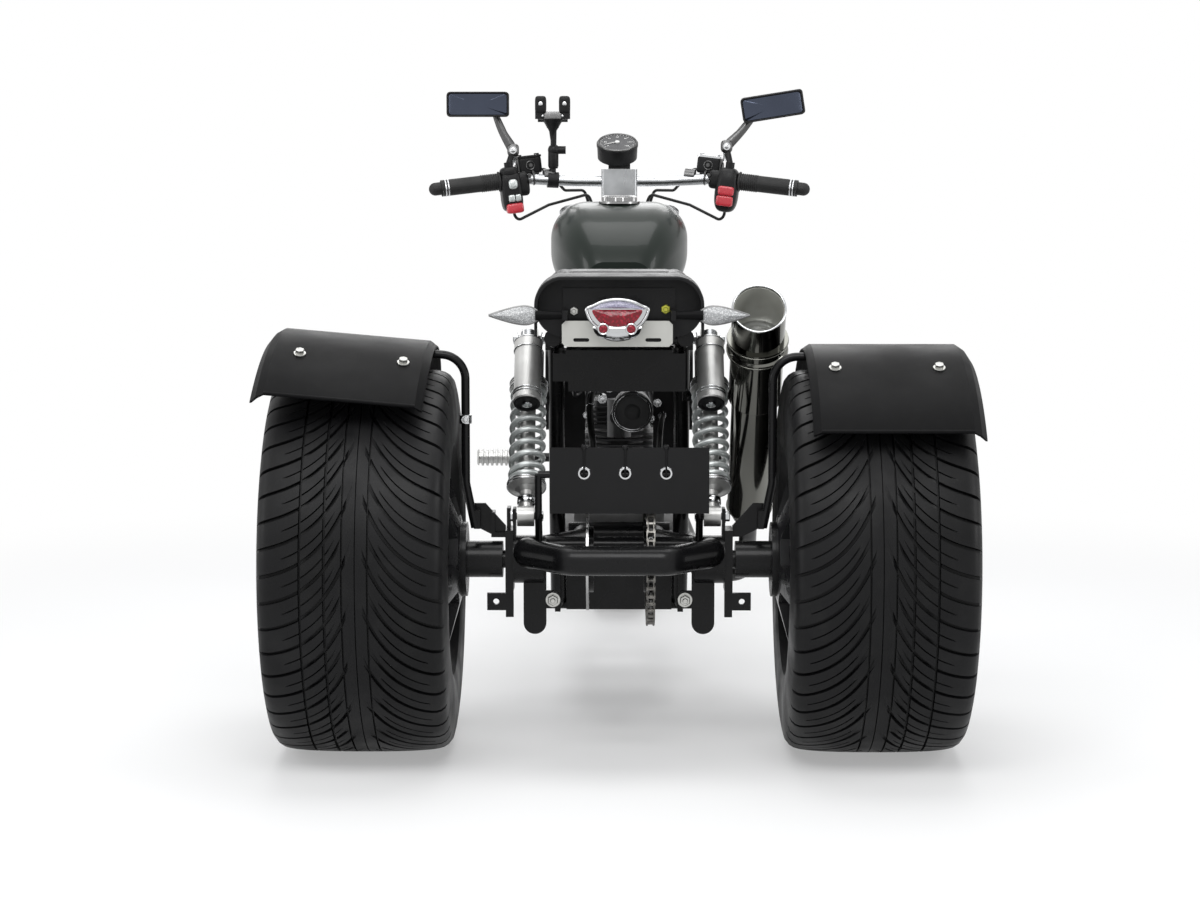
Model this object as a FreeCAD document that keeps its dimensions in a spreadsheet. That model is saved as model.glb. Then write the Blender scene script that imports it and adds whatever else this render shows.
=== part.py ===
import FreeCAD, Part
import math
import os
import re
import Sketcher

# A motorized trike: two wide driven wheels on one live axle behind, one steered wheel in front.
# Millimetres. X points to the vehicle's left, Y to its rear and Z up; the floor is Z = 0 and the
# middle of the overall length is Y = 0.

SIZES = (
    # alias, value in millimetres or degrees
    ("play", 0.3),
    ("wheelbase", 1420),
    ("rear_tyre_radius", 320),
    ("rear_tyre_width", 300),
    ("rear_track_half", 419),
    ("rear_bead_radius", 158),
    ("rear_rim_width", 254),
    ("front_tyre_radius", 243),
    ("front_tyre_width", 130),
    ("front_bead_radius", 128),
    ("front_rim_width", 96),
    ("rim_wall", 8),
    ("rim_flange", 12),
    ("wheel_face", 262),
    ("spokes", 5),
    ("shaft_radius", 15),
    ("hub_radius", 30.5),
    ("hub_start", 193),
    ("flange_radius", 62),
    ("flange_deep", 10),
    ("sprocket_x", -52),
    ("sprocket_radius", 105),
    ("sprocket_deep", 6),
    ("drive_radius", 34),
    ("chain_wide", 12),
    ("chain_tall", 11),
    ("disc_x", 52),
    ("disc_radius", 85),
    ("disc_deep", 4),
    ("rake", 30),
    ("fork_length", 640),
    ("fork_offset", 35),
    ("fork_half", 92),
    ("stanchion_radius", 16.5),
    ("slider_radius", 22),
    ("stem_radius", 15),
    ("head_radius", 27),
    ("head_half", 70),
    ("yoke_deep", 18),
    ("front_spindle_radius", 8),
    ("front_hub_half", 56),
    ("rail_half", 110),
    ("rail_radius", 14),
    ("rail_low", 174),
    ("rail_high", 672),
    ("carrier_x", 150),
    ("carrier_wide", 50),
    ("carrier_radius", 40),
    ("shock_x", 155),
    ("shock_foot", 392),
    ("shock_head", 671),
    ("shock_lean", 230),
    ("shock_pin", 6),
    ("spring_radius", 31),
    ("spring_wire", 4.5),
    ("spring_turns", 8),
    ("spring_length", 190),
    ("fender_radius", 355),
    ("fender_half", 131),
    ("fender_x", 434),
    ("fender_sheet", 3),
    ("fender_lip", 8),
    ("fender_end", 148),
    ("fender_roll", 5),
    ("fender_chamfer", 12),
    ("fender_flare", 10),
    ("stay_radius", 7),
    ("stay_x", 253),
    ("muffler_x", 236),
    ("muffler_radius", 46),
    ("muffler_lean", 38.2),
    ("muffler_length", 514),
    ("tip_bore", 80),
    ("pivot_height", 300),
    ("tail_half", 138),
    ("tail_top", 796),
    ("lamp_radius", 78),
    ("bar_radius", 11),
    ("bar_half", 353),
    ("bar_rise", 158),
    ("grip_radius", 16.5),
    ("grip_length", 118),
    ("gauge_radius", 42),
    ("mirror_wide", 125),
    ("mirror_tall", 50),
    ("plate_wide", 180),
    ("plate_tall", 42),
    ("flap_wide", 260),
    ("flap_tall", 108),
)
WORDS = {name for name, value in SIZES}

document = FreeCAD.newDocument("Trike")
sheet = document.addObject("Spreadsheet::Sheet", "sizes")
for line, (name, value) in enumerate(SIZES, start=1):
    sheet.set(f"A{line}", str(value))
    sheet.setAlias(f"A{line}", name)
document.recompute()


def size(name):
    """A size from the sheet as a plain number."""
    return float(sheet.get(name))


def cells(text):
    """The same sum with each alias led back to the sheet, for setExpression."""
    return re.sub(r"[a-z]+(_[a-z]+)*", lambda m: f"sizes.{m[0]}" if m[0] in WORDS else m[0], str(text))


def at(x, y, z):
    return FreeCAD.Vector(x, y, z)


# Places that follow from the sizes, as sums for expressions and as numbers.
REAR_Y = "(wheelbase + front_tyre_radius - rear_tyre_radius) / 2"
FRONT_Y = "(front_tyre_radius - rear_tyre_radius - wheelbase) / 2"
HEAD_Y = f"{FRONT_Y} + fork_offset * cos(rake) + fork_length * sin(rake)"
HEAD_Z = "front_tyre_radius - fork_offset * sin(rake) + fork_length * cos(rake)"
play = size("play")
rear_y = (size("wheelbase") + size("front_tyre_radius") - size("rear_tyre_radius")) / 2
rear_z = size("rear_tyre_radius")
front_y = rear_y - size("wheelbase")
front_z = size("front_tyre_radius")
rake = math.radians(size("rake"))
head_y = front_y + size("fork_offset") * math.cos(rake) + size("fork_length") * math.sin(rake)
head_z = front_z - size("fork_offset") * math.sin(rake) + size("fork_length") * math.cos(rake)

nodes = []


# ---- how pieces are made -------------------------------------------------------------------

def keep(piece, node):
    """Give a finished piece its own name, which is also its file's name."""
    piece.Label = node
    nodes.append(piece)
    return piece


def place(piece, x="0", y="0", z="0", axis=(0, 0, 1), angle="0"):
    """Bind where a piece stands and how it is turned to the sheet."""
    piece.Placement = FreeCAD.Placement(at(0, 0, 0), FreeCAD.Rotation(at(*axis), 1))
    for way, text in (("Base.x", x), ("Base.y", y), ("Base.z", z), ("Rotation.Angle", angle)):
        piece.setExpression(f"Placement.{way}", cells(text))


def start(node, **where):
    """A new body, its place bound to the sheet where one is given."""
    body = document.addObject("PartDesign::Body", node)
    if where:
        place(body, **where)
    return keep(body, node)


def draw(body, plane, corners=(), circles=(), lift="0"):
    """A sketch on one of the body's own planes: a closed outline and round holes.

    A corner is (across, up); a circle is (across, up, radius); all are sums of aliases.
    """
    sketch = body.newObject("Sketcher::SketchObject", "Outline")
    origin = {item.Role: item for item in body.Origin.OriginFeatures}
    sketch.AttachmentSupport = [(origin[plane], "")]
    sketch.MapMode = "FlatFace"
    sketch.setExpression("AttachmentOffset.Base.z", cells(lift))
    count = len(corners)
    turn = 2 * math.pi / max(count, 1)
    spots = [at(50 + 20 * math.cos(turn * k), 50 + 20 * math.sin(turn * k), 0) for k in range(count)]

    def fix(kind, part, end, start_value, text):
        number = sketch.addConstraint(Sketcher.Constraint(kind, -1, 1, part, end, start_value))
        sketch.setExpression(f"Constraints[{number}]", cells(text))

    for k in range(count):
        sketch.addGeometry(Part.LineSegment(spots[k], spots[(k + 1) % count]))
    for k in range(count):
        sketch.addConstraint(Sketcher.Constraint("Coincident", k, 2, (k + 1) % count, 1))
    for k, (across, up) in enumerate(corners):
        fix("DistanceX", k, 1, spots[k].x, across)
        fix("DistanceY", k, 1, spots[k].y, up)
    for k, (across, up, radius) in enumerate(circles, start=count):
        sketch.addGeometry(Part.Circle(at(5, 5, 0), at(0, 0, 1), 2))
        number = sketch.addConstraint(Sketcher.Constraint("Radius", k, 2))
        sketch.setExpression(f"Constraints[{number}]", cells(radius))
        fix("DistanceX", k, 3, 5, across)
        fix("DistanceY", k, 3, 5, up)
    return sketch


def turned(body, corners, angle="360", plane="XZ_Plane"):
    """A lathe-turned piece: the outline goes round the sketch's own across axis."""
    lathe = body.newObject("PartDesign::Revolution", "Turned")
    lathe.Profile = draw(body, plane, corners)
    lathe.ReferenceAxis = (lathe.Profile[0], ["H_Axis"])
    lathe.setExpression("Angle", cells(angle))
    return lathe


def padded(body, plane, deep, corners=(), circles=(), lift="0"):
    """A plate of the sketch's outline, its thickness even to both sides of the sketch."""
    pad = body.newObject("PartDesign::Pad", "Plate")
    pad.Profile = draw(body, plane, corners, circles, lift)
    pad.Midplane = True
    pad.setExpression("Length", cells(deep))
    return pad


def pierced(body, plane, corners=(), circles=()):
    """A cut of the sketch's outline right through the body."""
    cut = body.newObject("PartDesign::Pocket", "Window")
    cut.Profile = draw(body, plane, corners, circles)
    cut.Midplane = True
    cut.Type = "ThroughAll"
    return cut


def around(body, feature, count, role="X_Axis"):
    """Repeat a feature evenly round one of the body's own axes."""
    document.recompute()
    origin = {item.Role: item for item in body.Origin.OriginFeatures}
    ring = body.newObject("PartDesign::PolarPattern", "Ring")
    ring.Originals = [feature]
    ring.Axis = (origin[role], [""])
    ring.Angle = 360
    ring.setExpression("Occurrences", cells(count))
    body.Tip = ring
    return ring


def shaped(node, shape, placement=None):
    """A piece that Part's own functions make, for bent tubes and lofted skins."""
    piece = document.addObject("Part::Feature", node)
    piece.Shape = shape
    piece.Placement = (placement or FreeCAD.Placement()).multiply(shape.Placement)
    return keep(piece, node)


def tube(points, radius, bend=30.0):
    """A round bar along straight runs joined by tangent arcs of the bend radius."""
    spots = [at(*point) for point in points]
    edges = []
    last = spots[0]
    for before, corner, after in zip(spots, spots[1:], spots[2:]):
        way_in = (corner - before).normalize()
        way_out = (after - corner).normalize()
        half = way_in.getAngle(way_out) / 2
        reach = bend * math.tan(half)
        first = corner - way_in * reach
        second = corner + way_out * reach
        middle = corner + (way_out - way_in).normalize() * bend * (1 / math.cos(half) - 1)
        edges.append(Part.makeLine(last, first))
        edges.append(Part.Arc(first, middle, second).toShape())
        last = second
    edges.append(Part.makeLine(last, spots[-1]))
    ring = Part.Wire([Part.makeCircle(radius, spots[0], spots[1] - spots[0])])
    return Part.Wire(edges).makePipeShell([ring], True, True)


def rod(radius, start_point, end_point):
    way = at(*end_point) - at(*start_point)
    return Part.makeCylinder(radius, way.Length, at(*start_point), way)


def box(low, high):
    span = at(*high) - at(*low)
    return Part.makeBox(span.x, span.y, span.z, at(*low))


def joined(shapes):
    whole = shapes[0].multiFuse(list(shapes[1:]))
    return whole.removeSplitter()


def mirrored(shape):
    return shape.mirror(at(0, 0, 0), at(1, 0, 0))


def both(shape):
    """The piece and its mirror image on the other side."""
    return [shape, mirrored(shape)]


def twin_tubes(points, radius, bend):
    """The same bent tube on the left and on the right."""
    return [tube([(side * x, y, z) for x, y, z in points], radius, bend) for side in (1, -1)]


def twin_rods(radius, start_point, end_point):
    return [rod(radius, (side * start_point[0], *start_point[1:]), (side * end_point[0], *end_point[1:]))
            for side in (1, -1)]


def oval(y, half, low, high, corner):
    """A rounded rectangle across the vehicle at one station along it."""
    corner = min(corner, half * 0.98, (high - low) * 0.49)
    side = half - corner
    wire = []
    spots = ((side, low, corner, -90), (side, high, -corner, 0), (-side, high, -corner, 90),
             (-side, low, corner, 180))
    ends = []
    for x, z, lift, angle in spots:
        middle = at(x, y, z + lift)
        ring = [middle + at(math.cos(math.radians(angle + turn)), 0,
                            math.sin(math.radians(angle + turn))) * corner for turn in (0, 45, 90)]
        ends.append(ring)
    for k, ring in enumerate(ends):
        wire.append(Part.Arc(*ring).toShape())
        wire.append(Part.makeLine(ring[2], ends[(k + 1) % 4][0]))
    return Part.Wire(wire)


def lofted(stations):
    """A smooth skin over rounded rectangles: (y, half width, low, high, corner radius)."""
    return Part.makeLoft([oval(*station) for station in stations], True)


# ---- wheels --------------------------------------------------------------------------------

def tyre(node, radius, width, rim, bead, x, y):
    body = start(node, x=x, y=y, z=radius)
    half = f"{width} / 2"
    lip = f"{rim} / 2 - rim_wall - 2"
    outline = [(lip, bead), (lip, f"{bead} + rim_flange + 2"),
               (f"{half} * 0.98", f"{bead} + ({radius} - {bead}) * 0.3"),
               (half, f"{bead} + ({radius} - {bead}) * 0.62"), (f"{half} * 0.93", f"{radius} * 0.955"),
               (f"{half} * 0.72", f"{radius} * 0.988"), (f"{half} * 0.3", f"{radius} * 0.999")]
    mirror = [(f"-({across})", up) for across, up in reversed(outline)]
    turned(body, outline + mirror)


def wheel(node, width, bead, dish, bore, x, y, z, angle):
    """A cast wheel: rim barrel, spoked dish and hub; its outside faces local +X."""
    body = start(node, x=x, y=y, z=z, angle=angle)
    half = f"{width} / 2"
    inner = f"{bead} - rim_wall"
    outline = [(f"-{half}", inner), (f"-{half}", f"{bead} + rim_flange"),
               (f"-{half} + 7", f"{bead} + rim_flange"), (f"-{half} + 9", f"{bead} - play"),
               (f"{half} - 9", f"{bead} - play"), (f"{half} - 7", f"{bead} + rim_flange"),
               (half, f"{bead} + rim_flange"), (half, inner), (f"{dish} + 44", inner),
               (f"{dish} + 15", "flange_radius + 4"), (f"{dish} + 15", bore), (dish, bore),
               (dish, "flange_radius + 4"), (f"{dish} + 24", inner)]
    turned(body, outline)
    low = "(flange_radius + 10)"
    high = f"({bead} - rim_wall - 6)"
    window = [(f"-{low} * 0.30", low), (f"{low} * 0.30", low), (f"{high} * 0.44", f"{high} * 0.86"),
              ("0", high), (f"-{high} * 0.44", f"{high} * 0.86")]
    around(body, pierced(body, "YZ_Plane", window), "spokes")
    return body


for side, word, angle in ((1, "left", "0"), (-1, "right", "180")):
    tyre(f"rear_tyre_{word}", "rear_tyre_radius", "rear_tyre_width", "rear_rim_width",
         "rear_bead_radius", f"{side} * rear_track_half", REAR_Y)
    wheel(f"rear_wheel_{word}", "rear_rim_width", "rear_bead_radius", "wheel_face - rear_track_half",
          "hub_radius + play", f"{side} * rear_track_half", REAR_Y, "rear_tyre_radius", angle)
tyre("front_tyre", "front_tyre_radius", "front_tyre_width", "front_rim_width", "front_bead_radius", "0",
     FRONT_Y)
front_wheel = wheel("front_wheel", "front_rim_width", "front_bead_radius", "-7.5",
                    "front_spindle_radius + play", "0", FRONT_Y, "front_tyre_radius", "0")
padded(front_wheel, "YZ_Plane", "2 * front_hub_half",
       circles=[("0", "0", "32"), ("0", "0", "front_spindle_radius + play")])


# ---- the live rear axle --------------------------------------------------------------------

axle = start("rear_axle", x="0", y=REAR_Y, z="rear_tyre_radius")
COLLAR = 55
left_half = [("wheel_face + 6", "hub_radius"), ("wheel_face", "hub_radius"),
             ("wheel_face", "flange_radius"),
             ("wheel_face - flange_deep", "flange_radius"), ("wheel_face - flange_deep", "hub_radius"),
             ("hub_start", "hub_radius"), ("hub_start", "shaft_radius"),
             ("disc_x - disc_deep / 2", "shaft_radius"), ("disc_x - disc_deep / 2", COLLAR),
             ("disc_x - disc_deep / 2 - 8", COLLAR), ("disc_x - disc_deep / 2 - 8", "shaft_radius")]
right_half = [(f"-({across})", up) for across, up in left_half[:7]]
right_half += [("sprocket_x + sprocket_deep / 2", "shaft_radius"),
               ("sprocket_x + sprocket_deep / 2", COLLAR),
               ("sprocket_x + sprocket_deep / 2 + 8", COLLAR),
               ("sprocket_x + sprocket_deep / 2 + 8", "shaft_radius")]
turned(axle, [("wheel_face + 6", "0")] + left_half + right_half[::-1] + [("-(wheel_face + 6)", "0")])

sprocket = start("sprocket", x="sprocket_x", y=REAR_Y, z="rear_tyre_radius")
padded(sprocket, "YZ_Plane", "sprocket_deep",
       circles=[("0", "0", "sprocket_radius - chain_tall / 2 - 2 * play"),
                ("0", "0", "shaft_radius + play")])
around(sprocket, pierced(sprocket, "YZ_Plane", circles=[("0", "76", "14")]), "spokes")

disc = start("rear_brake_disc", x="disc_x", y=REAR_Y, z="rear_tyre_radius")
padded(disc, "YZ_Plane", "disc_deep",
       circles=[("0", "0", "disc_radius"), ("0", "0", "shaft_radius + play")])
around(disc, pierced(disc, "YZ_Plane", circles=[("0", "disc_radius - 14", "4")]), "12")

front_disc = start("front_brake_disc", x="front_hub_half + disc_deep / 2", y=FRONT_Y,
                   z="front_tyre_radius")
padded(front_disc, "YZ_Plane", "disc_deep", circles=[("0", "0", "110"), ("0", "0", "24")])
around(front_disc, pierced(front_disc, "YZ_Plane", circles=[("0", "98", "4")]), "12")


# ---- frame ---------------------------------------------------------------------------------

head = at(0, head_y, head_z)
up_head = at(0, math.sin(rake), math.cos(rake))
back_head = at(0, math.cos(rake), -math.sin(rake))
rail_x = size("rail_half")
rail_r = size("rail_radius")
low_z = size("rail_low")
high_z = size("rail_high")
shock_x = size("shock_x")
shock_pin = size("shock_pin")
shock_head_y = rear_y - size("shock_lean")
shock_head_z = size("shock_head")
PIVOT = (rear_y - 420, size("pivot_height"))
ENGINE_Y = rear_y - 600
TAIL_Y = rear_y + 60
half_head = size("head_half")
spine_foot = (0, ENGINE_Y - 30, high_z)


def head_spot(across, back, up):
    """A point given along the steering head: to the left, behind it and up it."""
    return tuple(head + at(across, 0, 0) + back_head * back + up_head * up)


head_tube = Part.makeCylinder(size("head_radius"), 2 * half_head, head - up_head * half_head, up_head)
spine = tube([head_spot(0, 12, 20), spine_foot], 22)
bones = [head_tube, spine, rod(rail_r - 2, (-rail_x, *spine_foot[1:]), (rail_x, *spine_foot[1:]))]
down = [head_spot(15, 24, -40), (92, ENGINE_Y - 344, 400), (rail_x, ENGINE_Y - 270, low_z),
        (rail_x, PIVOT[0] + 10, low_z), (rail_x, PIVOT[0] + 110, PIVOT[1] + 60),
        (rail_x, PIVOT[0] + 150, high_z)]
seat_rail = [(rail_x, spine_foot[1] - 20, high_z), (rail_x, shock_head_y + 40, high_z),
             (rail_x, rear_y, high_z + 16)]
bones += twin_tubes(down, rail_r, 60) + twin_tubes(seat_rail, rail_r, 60)
bones += [rod(10, (-rail_x, y, z), (rail_x, y, z)) for y, z in
          ((ENGINE_Y - 250, low_z), (PIVOT[0], low_z), (rear_y - 56, high_z + 11),
           (shock_head_y, high_z))]
pivot_plate = box((rail_x - 5, PIVOT[0] - 34, low_z), (rail_x + 5, PIVOT[0] + 92, PIVOT[1] + 40))
bones += both(pivot_plate)
skid = box((-rail_x, ENGINE_Y - 120, low_z - rail_r + 1), (rail_x, PIVOT[0] - 20, low_z - rail_r + 5))
bones += [skid]
bones += [rod(8, (-rail_x, *PIVOT), (rail_x, *PIVOT))]
PEG = (ENGINE_Y - 334, 384)
PEG_START = 206
bones += twin_rods(9, (90, *PEG), (PEG_START - play, *PEG))
shock_plate = box((rail_x + rail_r - 6, shock_head_y - 18, shock_head_z - 18),
                  (rail_x + rail_r + 4, shock_head_y + 18, shock_head_z + 10))
bones += both(shock_plate)
bones += twin_rods(shock_pin, (rail_x, shock_head_y, shock_head_z),
                   (shock_x + 20, shock_head_y, shock_head_z))
frame_shape = joined(bones).cut(Part.makeCylinder(size("stem_radius") + 1.5, 4 * half_head,
                                                  head - up_head * 2 * half_head, up_head))
shaped("frame", frame_shape)
belly_half = rail_x - rail_r - play
belly_y = PIVOT[0] + 10 + play
shaped("belly_plate", box((-belly_half, belly_y, low_z - rail_r + 5), (belly_half, belly_y + 4, 236)))


# ---- swinging fork that carries the axle ---------------------------------------------------

carrier_x = size("carrier_x")
carrier_r = size("carrier_radius")
half_carrier = size("carrier_wide") / 2
shock_foot_z = size("shock_foot")
EYE_X = 204
EYE_Z = 251
EYE_HOLE = 5
arm = tube([(66, *PIVOT), (66, PIVOT[0] + 90, PIVOT[1] + 4), (carrier_x, rear_y - 110, rear_z),
            (carrier_x, rear_y, rear_z)],
           20, 50)
carrier = rod(carrier_r, (carrier_x - half_carrier, rear_y, rear_z),
              (carrier_x + half_carrier, rear_y, rear_z))
fork_parts = [rod(24, (-92, *PIVOT), (92, *PIVOT))]
for piece in (arm, carrier):
    fork_parts += both(piece)
fork_parts += [rod(16, (-carrier_x + 22, rear_y - 150, rear_z), (carrier_x - 22, rear_y - 150, rear_z))]
FLAP_Y = rear_y + 76
fork_parts += both(tube([(132, rear_y + 24, 345), (132, FLAP_Y - 14, 400), (132, FLAP_Y - 6, 470)], 6,
                        20))
fork_parts += [rod(6, (-132, FLAP_Y - 6, 470), (132, FLAP_Y - 6, 470))]
ear = [box((x, rear_y - 16, rear_z + 20), (x + 5, rear_y + 16, shock_foot_z + 14)) for x in
       (shock_x - 21, shock_x + 16)]
end_plate = box((carrier_x + half_carrier, rear_y - 30, 268),
                (carrier_x + half_carrier + 13, rear_y + 30, 372))
hanger = box((carrier_x + half_carrier, rear_y + 10, 225),
             (carrier_x + half_carrier + 13, rear_y + 18, 290))
eye = box((carrier_x + half_carrier + 5, rear_y + 10, EYE_Z - 14.5),
          (EYE_X + 15, rear_y + 18, EYE_Z + 14.5))
eye = eye.cut(rod(EYE_HOLE, (EYE_X, rear_y, EYE_Z), (EYE_X, rear_y + 40, EYE_Z)))
tab = box((121, rear_y - 4, 213), (159, rear_y + 4, 300)).fuse(rod(19, (140, rear_y - 4, 213),
                                                                   (140, rear_y + 4, 213)))
lug = box((180, rear_y - 20, 358), (186, rear_y + 12, 407)).fuse(box((206, rear_y - 20, 358),
                                                                     (212, rear_y + 12, 400)))
lug = lug.fuse(box((175, rear_y - 20, 358), (212, rear_y + 12, 366)))
gusset = Part.Face(Part.makePolygon([at(188, rear_y - 3, 358), at(188, rear_y - 3, 376),
                                     at(222, rear_y - 3, 414),
                                     at(240, rear_y - 3, 414), at(240, rear_y - 3, 376),
                                     at(204, rear_y - 3, 358),
                                     at(188, rear_y - 3, 358)]))
gusset = gusset.extrude(at(0, 6, 0))
for piece in ear + [end_plate, hanger, eye, tab, gusset]:
    fork_parts += both(piece)
fork_parts += [lug]
fork_parts += both(rod(shock_pin, (shock_x - 20, rear_y, shock_foot_z),
                       (shock_x + 20, rear_y, shock_foot_z)))
fork_shape = joined(fork_parts)
fork_shape = fork_shape.cut(rod(size("shaft_radius") + 2 * play, (-220, rear_y, rear_z),
                                (220, rear_y, rear_z)))
fork_shape = fork_shape.cut(rod(8 + play, (-100, *PIVOT), (100, *PIVOT)))
shaped("swinging_fork", fork_shape)

GUARD_R = 24
GUARD_Z = 338
guard = [(carrier_x, rear_y + carrier_r + play, GUARD_Z), (carrier_x, rear_y + carrier_r + 20, GUARD_Z),
         (80, rear_y + 138, GUARD_Z)]
guard = tube(guard + [(-x, y, z) for x, y, z in reversed(guard)], GUARD_R, 30)
shaped("rear_guard", guard)


# ---- shocks and springs --------------------------------------------------------------------

lean = math.atan2(size("shock_lean"), shock_head_z - shock_foot_z)
shock_long = math.hypot(size("shock_lean"), shock_head_z - shock_foot_z)
coil_r = size("spring_radius")
wire_r = size("spring_wire")
EYE_R = 17
CUP = coil_r + 1
SPRING_FOOT = 62
spring_top = SPRING_FOOT + size("spring_length")
BOTTLE_R = 24
BOTTLE_LONG = 130
BOTTLE_TOP = 318
BOTTLE_BACK = 57


def upright(x):
    """The shock's own stand: its foot at the axle, its length leaning forward."""
    return FreeCAD.Placement(at(x, rear_y, shock_foot_z),
                             FreeCAD.Rotation(at(1, 0, 0), math.degrees(lean)))


def turned_rod(rows):
    """A lathe-turned column about +Z from rows of (height, radius), straight between them."""
    corners = [at(0, 0, rows[0][0])] + [at(radius, 0, z) for z, radius in rows] + [at(0, 0, rows[-1][0])]
    face = Part.Face(Part.makePolygon(corners + corners[:1]))
    return face.revolve(at(0, 0, 0), at(0, 0, 1), 360)


def shock_body():
    """Eyes, lower stem and cup, inner shaft, upper body with its two spring rings, and the gas bottle."""
    top = shock_long - 30
    column = turned_rod([
        # height, radius
        (10, 9), (24, 11), (46, 11), (SPRING_FOOT - 10, 19), (SPRING_FOOT - 6, CUP), (SPRING_FOOT, CUP),
        (SPRING_FOOT, 13), (spring_top, 13), (spring_top, CUP), (spring_top + 7, CUP),
        (spring_top + 7, 26),
        (spring_top + 10, 26), (spring_top + 10, CUP), (spring_top + 17, CUP), (spring_top + 17, 25),
        (top, 25), (top + 8, 16), (shock_long - 12, 12)])
    end = BOTTLE_TOP - BOTTLE_LONG
    bottle = turned_rod([
        # height, radius
        (end, BOTTLE_R - 2), (end + 2, BOTTLE_R), (end + 12, BOTTLE_R), (end + 12, BOTTLE_R - 1),
        (BOTTLE_TOP - 24, BOTTLE_R - 1), (BOTTLE_TOP - 24, BOTTLE_R), (BOTTLE_TOP - 4, BOTTLE_R),
        (BOTTLE_TOP, BOTTLE_R - 6), (BOTTLE_TOP, 12), (BOTTLE_TOP + 16, 12)])
    bottle.translate(at(0, BOTTLE_BACK, 0))
    bridge = box((-15, 8, BOTTLE_TOP - 20), (15, BOTTLE_BACK, BOTTLE_TOP - 7))
    eyes = [rod(EYE_R, (-14, 0, z), (14, 0, z)) for z in (0, shock_long)]
    whole = joined(eyes + [column, bottle, bridge])
    for z in (0, shock_long):
        whole = whole.cut(rod(shock_pin + play, (-30, 0, z), (30, 0, z)))
    return whole


def coil(radius, wire, turns, length):
    """A coil spring of round wire about +Z, its ends cut flat to sit on the two seats."""
    pitch = length / turns
    helix = Part.makeHelix(pitch, length + pitch, radius - wire)
    ring = Part.Wire([Part.makeCircle(wire, at(radius - wire, 0, 0), at(0, 1, 0))])
    whole = Part.Wire(helix).makePipeShell([ring], True, True)
    whole.translate(at(0, 0, -pitch / 2))
    return whole.common(Part.makeCylinder(2 * radius, length))


for side, word in ((1, "left"), (-1, "right")):
    shaped(f"shock_{word}", shock_body(), upright(side * shock_x))
    wound = coil(coil_r, wire_r, size("spring_turns"), size("spring_length") - 2 * play)
    wound.translate(at(0, 0, SPRING_FOOT + play))
    shaped(f"spring_{word}", wound, upright(side * shock_x))


# ---- fenders and their stays ---------------------------------------------------------------

stay_r = size("stay_radius")
stay_x = size("stay_x")
stay_ring = size("fender_radius") - size("fender_lip") - stay_r - play
STAY_Y = rear_y + 20
STAY_ANGLE = 67
STAY_INNER = 238
BOLT_X = (345, 511)
fender_x = size("fender_x")


def on_ring(x, radius, angle):
    """A point round the rear axle, the angle counted up from straight behind it."""
    return (x, rear_y + radius * math.cos(math.radians(angle)),
            rear_z + radius * math.sin(math.radians(angle)))


def rolled(shape, side):
    """Lean the left fender, and the bars under it, up towards its outer edge."""
    if side > 0:
        shape.rotate(at(stay_x, 0, stay_crest), at(0, 1, 0), -size("fender_roll"))
    return shape


stay_crest = rear_z + math.sqrt(stay_ring ** 2 - (STAY_Y - rear_y) ** 2)
reach = fender_x + 96
link_x = fender_x - 104


def bars_shape():
    """The rear cross bar with its bolt spacers, and the link to the bent tube."""
    bar = rod(stay_r, on_ring(link_x, stay_ring, STAY_ANGLE), on_ring(reach, stay_ring, STAY_ANGLE))
    link = rod(stay_r, on_ring(link_x + 8, stay_ring - 2, STAY_ANGLE), (link_x + 8, STAY_Y, stay_crest))
    over = rod(stay_r, (stay_x + 40, STAY_Y, stay_crest), (reach, STAY_Y, stay_crest))
    spacers = [rod(9, on_ring(x, stay_ring, STAY_ANGLE),
                   on_ring(x, size("fender_radius") - play, STAY_ANGLE))
               for x in BOLT_X]
    return [bar, link, over] + spacers


def stay_shape(side):
    """The bent tube up from the axle and out over the tyre, with the bars that carry the fender."""
    rise = 50 * math.tan(math.radians(size("fender_roll"))) if side > 0 else 0
    bent = tube([(STAY_INNER, STAY_Y, 376), (stay_x, STAY_Y, 450), (stay_x, STAY_Y, stay_crest),
                 (stay_x + 50, STAY_Y, stay_crest + rise)],
                stay_r, 40)
    foot = box((STAY_INNER - 8, rear_y + 3 + play, 374), (STAY_INNER + 2, STAY_Y + 6, 404))
    return joined([bent, foot] + [rolled(piece, side) for piece in bars_shape()])


# side of the vehicle, its word, and where the fender's rear edge stands above straight behind
FENDERS = (
    (1, "left", 49),
    (-1, "right", 42),
)
for side, word, begin in FENDERS:
    fender = start(f"fender_{word}")
    high = "fender_radius"
    thick = "fender_sheet"
    half = "fender_half"
    fold = "fender_chamfer"
    lip = "fender_lip"
    edge = f"({half} + fender_flare)"
    outside = [(f"-{half}", f"{high} - {lip}"), (f"-{half}", f"{high} - {lip} + {thick}"),
               (f"-({half} - {fold})", f"{high} + {thick}"), (f"{half} - {fold}", f"{high} + {thick}"),
               (half, f"{high} - {lip} + {thick}"), (edge, f"{high} - {lip} - 12"),
               (f"{edge} - {thick}", f"{high} - {lip} - 12"), (f"{half} - {thick}", f"{high} - {lip}"),
               (f"{half} - {fold} - 1", high), (f"-({half} - {fold}) + 1", high),
               (f"-({half} - {thick})", f"{high} - {lip}")]
    skin = [(f"{side} * ({across})", up) for across, up in outside]
    turned(fender, skin, f"fender_end - {begin}")
    stand = FreeCAD.Placement(at(side * fender_x, rear_y, rear_z),
                              FreeCAD.Rotation(at(1, 0, 0), begin - 90))
    if side > 0:
        pin = at(stay_x, rear_y, stay_crest)
        stand = FreeCAD.Placement(at(0, 0, 0), FreeCAD.Rotation(at(0, 1, 0), -size("fender_roll")),
                                  pin) * stand
    fender.Placement = stand
    shape = stay_shape(side)
    shaped(f"fender_stay_{word}", shape if side > 0 else mirrored(shape))


# ---- engine --------------------------------------------------------------------------------

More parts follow.
